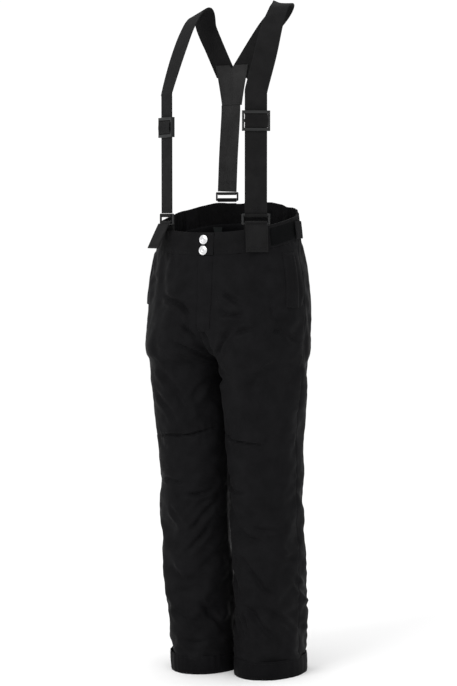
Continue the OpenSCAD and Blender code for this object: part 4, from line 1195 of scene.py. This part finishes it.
def softened(node, name, radius):
    """A copy of a hard CAD piece with its edges rounded over."""
    source = NODES[node]
    bm = bmesh.new()
    bm.from_mesh(source.data)
    bm.transform(source.matrix_world)
    bmesh.ops.remove_doubles(bm, verts=bm.verts, dist=1e-5)
    bmesh.ops.dissolve_limit(bm, angle_limit=math.radians(FLAT_DEGREES), verts=bm.verts, edges=bm.edges)
    corner = math.radians(CORNER_DEGREES)
    sharp = [e for e in bm.edges if len(e.link_faces) == 2 and e.calc_face_angle() > corner]
    bmesh.ops.bevel(bm, geom=sharp, offset=radius * MM, segments=3, profile=0.5, affect="EDGES",
                    clamp_overlap=True)
    bmesh.ops.triangulate(bm, faces=[face for face in bm.faces if len(face.verts) > 4])
    mesh = bpy.data.meshes.new(name)
    bm.to_mesh(mesh)
    bm.free()
    return shown(mesh, SHADE_DEGREES)


def build_adjuster(word, side):
    body = f"brace_adjuster_{word}"
    shape = softened(body, f"adjuster_frame_{word}", 0.9)
    finish_piece(shape, body, PLASTIC, [body])
    low, front = ADJ_Z[side] - ADJ_H / 2, ADJ_IN + ADJ_T
    half = [(ADJ_IN + 1.2, 6.2), (ADJ_IN + 2.8, 7.6), (front + 1.3, 11)]
    hump = half + [(front + 1.9, ADJ_H / 2)] + [(x, ADJ_H - z) for x, z in half[::-1]]
    path = [(at_anchor(side, x, 0, low + z), anchor(side)[2]) for x, z in hump]
    wrap = ribbon(f"adjuster_webbing_{word}", path, 60, width=WEB_W + 1.2, thick=1.5)
    finish_piece(wrap, body, WEBBING)


def build_yoke():
    """A tapered stiff panel that joins the arms to the back strap, with a seam down its middle."""
    share, v = np.meshgrid(np.linspace(0, 1, 60), np.linspace(-1, 1, 61), indexing="ij")
    z = YOKE_LOW + share * (YOKE_TOP - YOKE_LOW)
    half = 20 + 13 * share ** 1.15
    x = v * half
    near = np.minimum.reduce([half - np.abs(x), z - YOKE_LOW, YOKE_TOP - z])
    roll = np.sqrt(1 - (1 - np.clip(near / 1.2, 0, 1)) ** 2)
    dips = 0.5 * np.exp(-(x / 0.7) ** 2) + 0.25 * np.exp(-((half - np.abs(x) - 3.5) / 0.6) ** 2)
    thick = np.maximum(YOKE_T / 2 * roll - dips * (roll > 0.9), 0.15)
    z = z - 5.5 * np.exp(-(x / 3.2) ** 2) * smooth((share - 0.80) / 0.2)
    outer, inner = (np.stack([YOKE_X + x, YOKE_Y + face * thick, z], -1) for face in (-1, 1))
    piece = sheet_object("yoke_cloth_panel", outer, inner, outer[..., [0, 2]], sharp=60)
    # The yoke takes the lighter back cloth: partly its own tone, partly painted light.
    finish_piece(piece, "trousers", BACK_CLOTH_PAINTED_LIT, ["brace_yoke"])
    foot = YOKE_LOW + 4
    lines = [((s * 16.5, foot), (s * 28.5, YOKE_TOP - 6)) for s in (-1, 1)]
    lines += [((s * 2.2, foot), (s * 2.2, YOKE_TOP - 12)) for s in (-1, 1)]
    lines.append(((-16.5, foot), (16.5, foot)))
    rows = []
    for face in (-1, 1):
        y = YOKE_Y + face * (YOKE_T / 2 - 0.1)
        rows += [seam((YOKE_X + x0, y, z0), (YOKE_X + x1, y, z1), (0, face, 0))
                 for (x0, z0), (x1, z1) in lines]
    stitch_piece("yoke_stitches", rows)


BACK_X = -38.0
BACK_HIGH = 836.7
BACK_R = 1.6


def build_back_strap():
    low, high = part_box("back_ring")
    back_y = float(low[1] + high[1]) / 2 / MM
    start = BACK_HIGH + BACK_R + 0.8
    level = (1, 0, 0)
    stations = [(BACK_X, back_y, start), (-36, YOKE_Y, 900), (-32, YOKE_Y, 962),
                (-31, YOKE_Y, YOKE_LOW - 10), (-31, YOKE_Y, YOKE_LOW)]
    # The back strap is the same webbing as the front straps, coloured lighter: painted light on the back.
    strap = ribbon("back_webbing", [(place, level) for place in stations], 110)
    finish_piece(strap, "trousers", BACK_CLOTH_PAINTED_LIT, ["back_strap"])
    r = BACK_R + 1.2
    path = [((BACK_X, back_y + r * math.cos(t), BACK_HIGH + r * math.sin(t)), level)
            for t in np.linspace(0.90 * np.pi, 2.10 * np.pi, 9)]
    wrap = ribbon("back_strap_end", path, 60, width=WEB_W - 1.5)
    # Its end round the ring is coloured lighter as well: painted light.
    finish_piece(wrap, "back_ring", BACK_CLOTH_PAINTED_LIT)
    middle = BACK_X + 0.5
    rows = []
    for face in (-1, 1):
        y = back_y + face * (WEB_T / 2 + THREAD_OFF)
        rows += [seam((middle - 17, y, z), (middle + 17, y, z), (0, face, 0), 9)
                 for z in (start + 14, start + 17)]
    stitch_piece("back_strap_stitches", rows)


def both(*names):
    return [f"{name}_{word}" for name in names for word in SIDES]


# CAD pieces whose shape is right: they keep it, and take a finished material
FITTINGS = [
    (SHELL, "shell_fabric", ["fly_underlap"]),
    (LINING_CLOTH, "lining_fabric", both("pocket_bag")),
    (TAPE, "zip_tape", ["fly_zip_tapes", *both("pocket_zip")]),
    (COIL, "zip_coil", ["fly_zip_coils"]),
    (LACQUER, "zip_metal", ["fly_zip_stops", "fly_slider", "fly_pull",
                            *both("pocket_slider", "pocket_pull")]),
    (BRIGHT, "snap_metal", ["snap_sockets", "snap_studs"]),
    (LACQUER, "black_metal", ["back_ring", *both("brace_ring")]),
    (WEBBING, "webbing", ["back_ring_loop"]),
    (LABEL, "label", ["size_label"])]


def paint_fittings():
    for material, slot, nodes in FITTINGS:
        for node in nodes:
            NODES[node].data.materials.clear()
            NODES[node].data.materials.append(material)


# ---------------------------------------------------------------- pockets and side tabs
def strip_piece(name, side, turns, z, offs, form=None):
    """A sewn-on double layer of cloth on the side, its face rolling over at its edges."""
    turn, z = np.broadcast_arrays(turns[None, :], z)
    base = skin(side, turn, z)
    n = outward(side, turn, z)
    s = turn * MM_PER_TURN
    near = np.minimum.reduce([s - s[:, :1], s[:, -1:] - s, z - z[:1], z[-1:] - z])
    roll = -0.7 * (1 - smooth(near / 1.2))
    lift = form(side, turn, z) if form else np.zeros(turn.shape)
    outer = base + n * (offs[0] + roll + lift)[..., None]
    inner = base + n * (offs[1] + lift)[..., None]
    return sheet_object(name, outer, inner, np.stack([s, z], -1), side < 0, sharp=60)


WELT_TURNS = (-0.255, -0.095)
WELT_Z = (642.0, 736.0)
WELT_THREAD_OFF = 4.0


def welt_form(side, turn, z):
    """The welt puffs a little, sinks at its edges, and dips along the pocket's mouth."""
    s = (turn - POCKET_TURN) * MM_PER_TURN
    edge = np.minimum.reduce([(turn - WELT_TURNS[0]) * MM_PER_TURN, (WELT_TURNS[1] - turn) * MM_PER_TURN,
                              (z - WELT_Z[0]) * 4, WELT_Z[1] - z])
    mouth = (z - 690) * 0.08
    return (0.5 * ripple(s, z, 30, 43 + side) * smooth(edge / 8) - 2.9 * (1 - smooth(edge / 7.0))
            - 0.6 * np.exp(-((s - mouth) / 1.3) ** 2) * smooth(edge / 6))


def on_welt(side, turn, z):
    turn, z = np.broadcast_arrays(turn, z)
    n = outward(side, turn, z)
    return skin(side, turn, z) + n * (WELT_THREAD_OFF + welt_form(side, turn, z))[..., None], n


def build_pocket(word, side):
    welt = strip_piece(f"pocket_welt_cloth_{word}", side, rounded(*WELT_TURNS, 26, 0.004),
                       rounded(*WELT_Z, 60)[:, None], (3.9, 3.3), welt_form)
    finish_piece(welt, "trousers", SHELL, [f"pocket_welt_{word}"])
    left, right = WELT_TURNS[0] + 0.014, WELT_TURNS[1] - 0.014
    upright = np.linspace(WELT_Z[0] + 4, WELT_Z[1] - 4, 40)
    rows = [on_welt(side, t, upright) for t in (left, right)]
    rows += [on_welt(side, np.linspace(left, right, 14), h) for h in (WELT_Z[0] + 3, WELT_Z[1] - 3)]
    stitch_piece(f"pocket_stitches_{word}", rows)


PATCH_TURNS = (-0.36, -0.005)
TAB_TURNS = (-0.05, 0.1)
TAB_Z, TAB_W, TAB_T = 773.0, 30.0, 1.6
TAB_LIFT = 1.8
TAB_OFF = BAND_OUT + 1.8
TAB_HEM = 3


def build_tab(word, side):
    """The loop patch on the band, and the tab sewn down behind it."""
    ts = rounded(*PATCH_TURNS, 40, 0.004)
    low, high = band_height(ts, 0.1), band_height(ts, 0.86)
    share = rounded(0, 1, 24, 0.02)[:, None]
    patch = strip_piece(f"loop_patch_{word}", side, ts, low * (1 - share) + high * share, (2.2, 1.2))
    finish_piece(patch, "trousers", LOOP_TAPE, [f"waist_patch_{word}"])
    free, sewn = (skin(side, t, TAB_Z) for t in TAB_TURNS)
    root = [skin(side, TAB_TURNS[1], TAB_Z + k * TAB_W / 2, TAB_OFF) for k in (-1, 1)]
    mid = sum(TAB_TURNS) / 2
    d = skin(side, mid + 0.01, TAB_Z) - skin(side, mid - 0.01, TAB_Z)
    face = unit(np.array([d[1], -d[0], 0]) * side)
    up = unit(root[1] - root[0])
    face = unit(face - up * (face @ up))
    along = np.cross(up, face)
    along = along * np.sign(along @ (free - sewn))
    long = np.linalg.norm(free - sewn)
    start = (root[0] + root[1]) / 2 + face * (TAB_LIFT + TAB_T / 2)
    path = [(start + along * (long * t) + face * 0.2 * math.sin(math.pi * t), up)
            for t in np.linspace(0, 1, 5)]
    body = f"waist_tab_{word}"
    tab = ribbon(f"waist_tab_cloth_{word}", path, 40, width=TAB_W, thick=TAB_T, ribs=1)
    finish_piece(tab, body, WAIST, [body])

    def at(t, y):
        return start + along * t + up * y + face * (TAB_T / 2 + 0.25)

    reach = TAB_W / 2 - TAB_HEM
    rows = [seam(at(TAB_HEM, y), at(long - TAB_HEM, y), face, 9) for y in (-reach, reach)]
    rows += [seam(at(t, -reach), at(t, reach), face, 9) for t in (TAB_HEM, long - TAB_HEM)]
    stitch_piece(f"waist_tab_stitches_{word}", rows, body)


# ---------------------------------------------------------------- camera, light, stage
CAMERA_AZIMUTH, CAMERA_PITCH = 30.0, 3.75
CAMERA_DISTANCE, CAMERA_HEIGHT = 3.4, 0.80
LENS_MM, SENSOR_MM = 103.315, 36.0


def build_camera():
    camera = placed("camera", bpy.data.cameras.new("camera"))
    a = math.radians(CAMERA_AZIMUTH)
    camera.location = (CAMERA_DISTANCE * math.sin(a), -CAMERA_DISTANCE * math.cos(a) - MIDDLE_Y * MM,
                       CAMERA_HEIGHT)
    camera.rotation_euler = (math.radians(90 - CAMERA_PITCH), 0, a)
    camera.data.sensor_width = SENSOR_MM
    camera.data.lens = LENS_MM
    camera.data.clip_end = 50
    bpy.context.scene.camera = camera


def area_light(name, place, target, size, power):
    light = bpy.data.lights.new(name, "AREA")
    light.shape = "RECTANGLE"
    light.size, light.size_y = size
    light.energy = power
    obj = placed(name, light)
    obj.location = place
    obj.rotation_euler = (Vector(target) - Vector(place)).to_track_quat("-Z", "Y").to_euler()


FLOOR_REACH = 60.0


def build_stage():
    """A pale floor that runs out of sight under an even pale sky."""
    mesh = bpy.data.meshes.new("floor")
    corners = [(x * FLOOR_REACH, y * FLOOR_REACH, 0) for x, y in ((-1, -1), (1, -1), (1, 1), (-1, 1))]
    mesh.from_pydata(corners, [], [(0, 1, 2, 3)])
    floor = placed("floor", mesh)
    mat, _ = shader("pale_floor", (0.97, 0.97, 0.97), 1.0, Specular_IOR_Level=0.0)
    mesh.materials.append(mat)
    world = bpy.data.worlds.new("studio")
    bpy.context.scene.world = world
    world.use_nodes = True
    back = world.node_tree.nodes["Background"]
    back.inputs["Color"].default_value = (1, 1, 1, 1)
    back.inputs["Strength"].default_value = 1.04
    area_light("key", (-0.6, -3.2, 2.6), (0, 0, 0.7), (1.8, 1.8), 60)
    area_light("fill", (2.8, -2.2, 1.4), (0, 0, 0.6), (1.6, 2.2), 16)
    bpy.context.scene.view_settings.view_transform = "Standard"


for half in SIDES.values():
    settle(half)
build_body()
build_band()
build_front()
build_snaps()
for name, half in SIDES.items():
    build_hem(name, half)
    build_gaiter(name, half)
    build_pocket(name, half)
    build_tab(name, half)
    build_strap(name, half)
    build_flap(name, half)
    build_adjuster(name, half)
build_body_stitches()
build_hem_and_waist_stitches()
build_yoke()
build_back_strap()
paint_fittings()
build_camera()
build_stage()
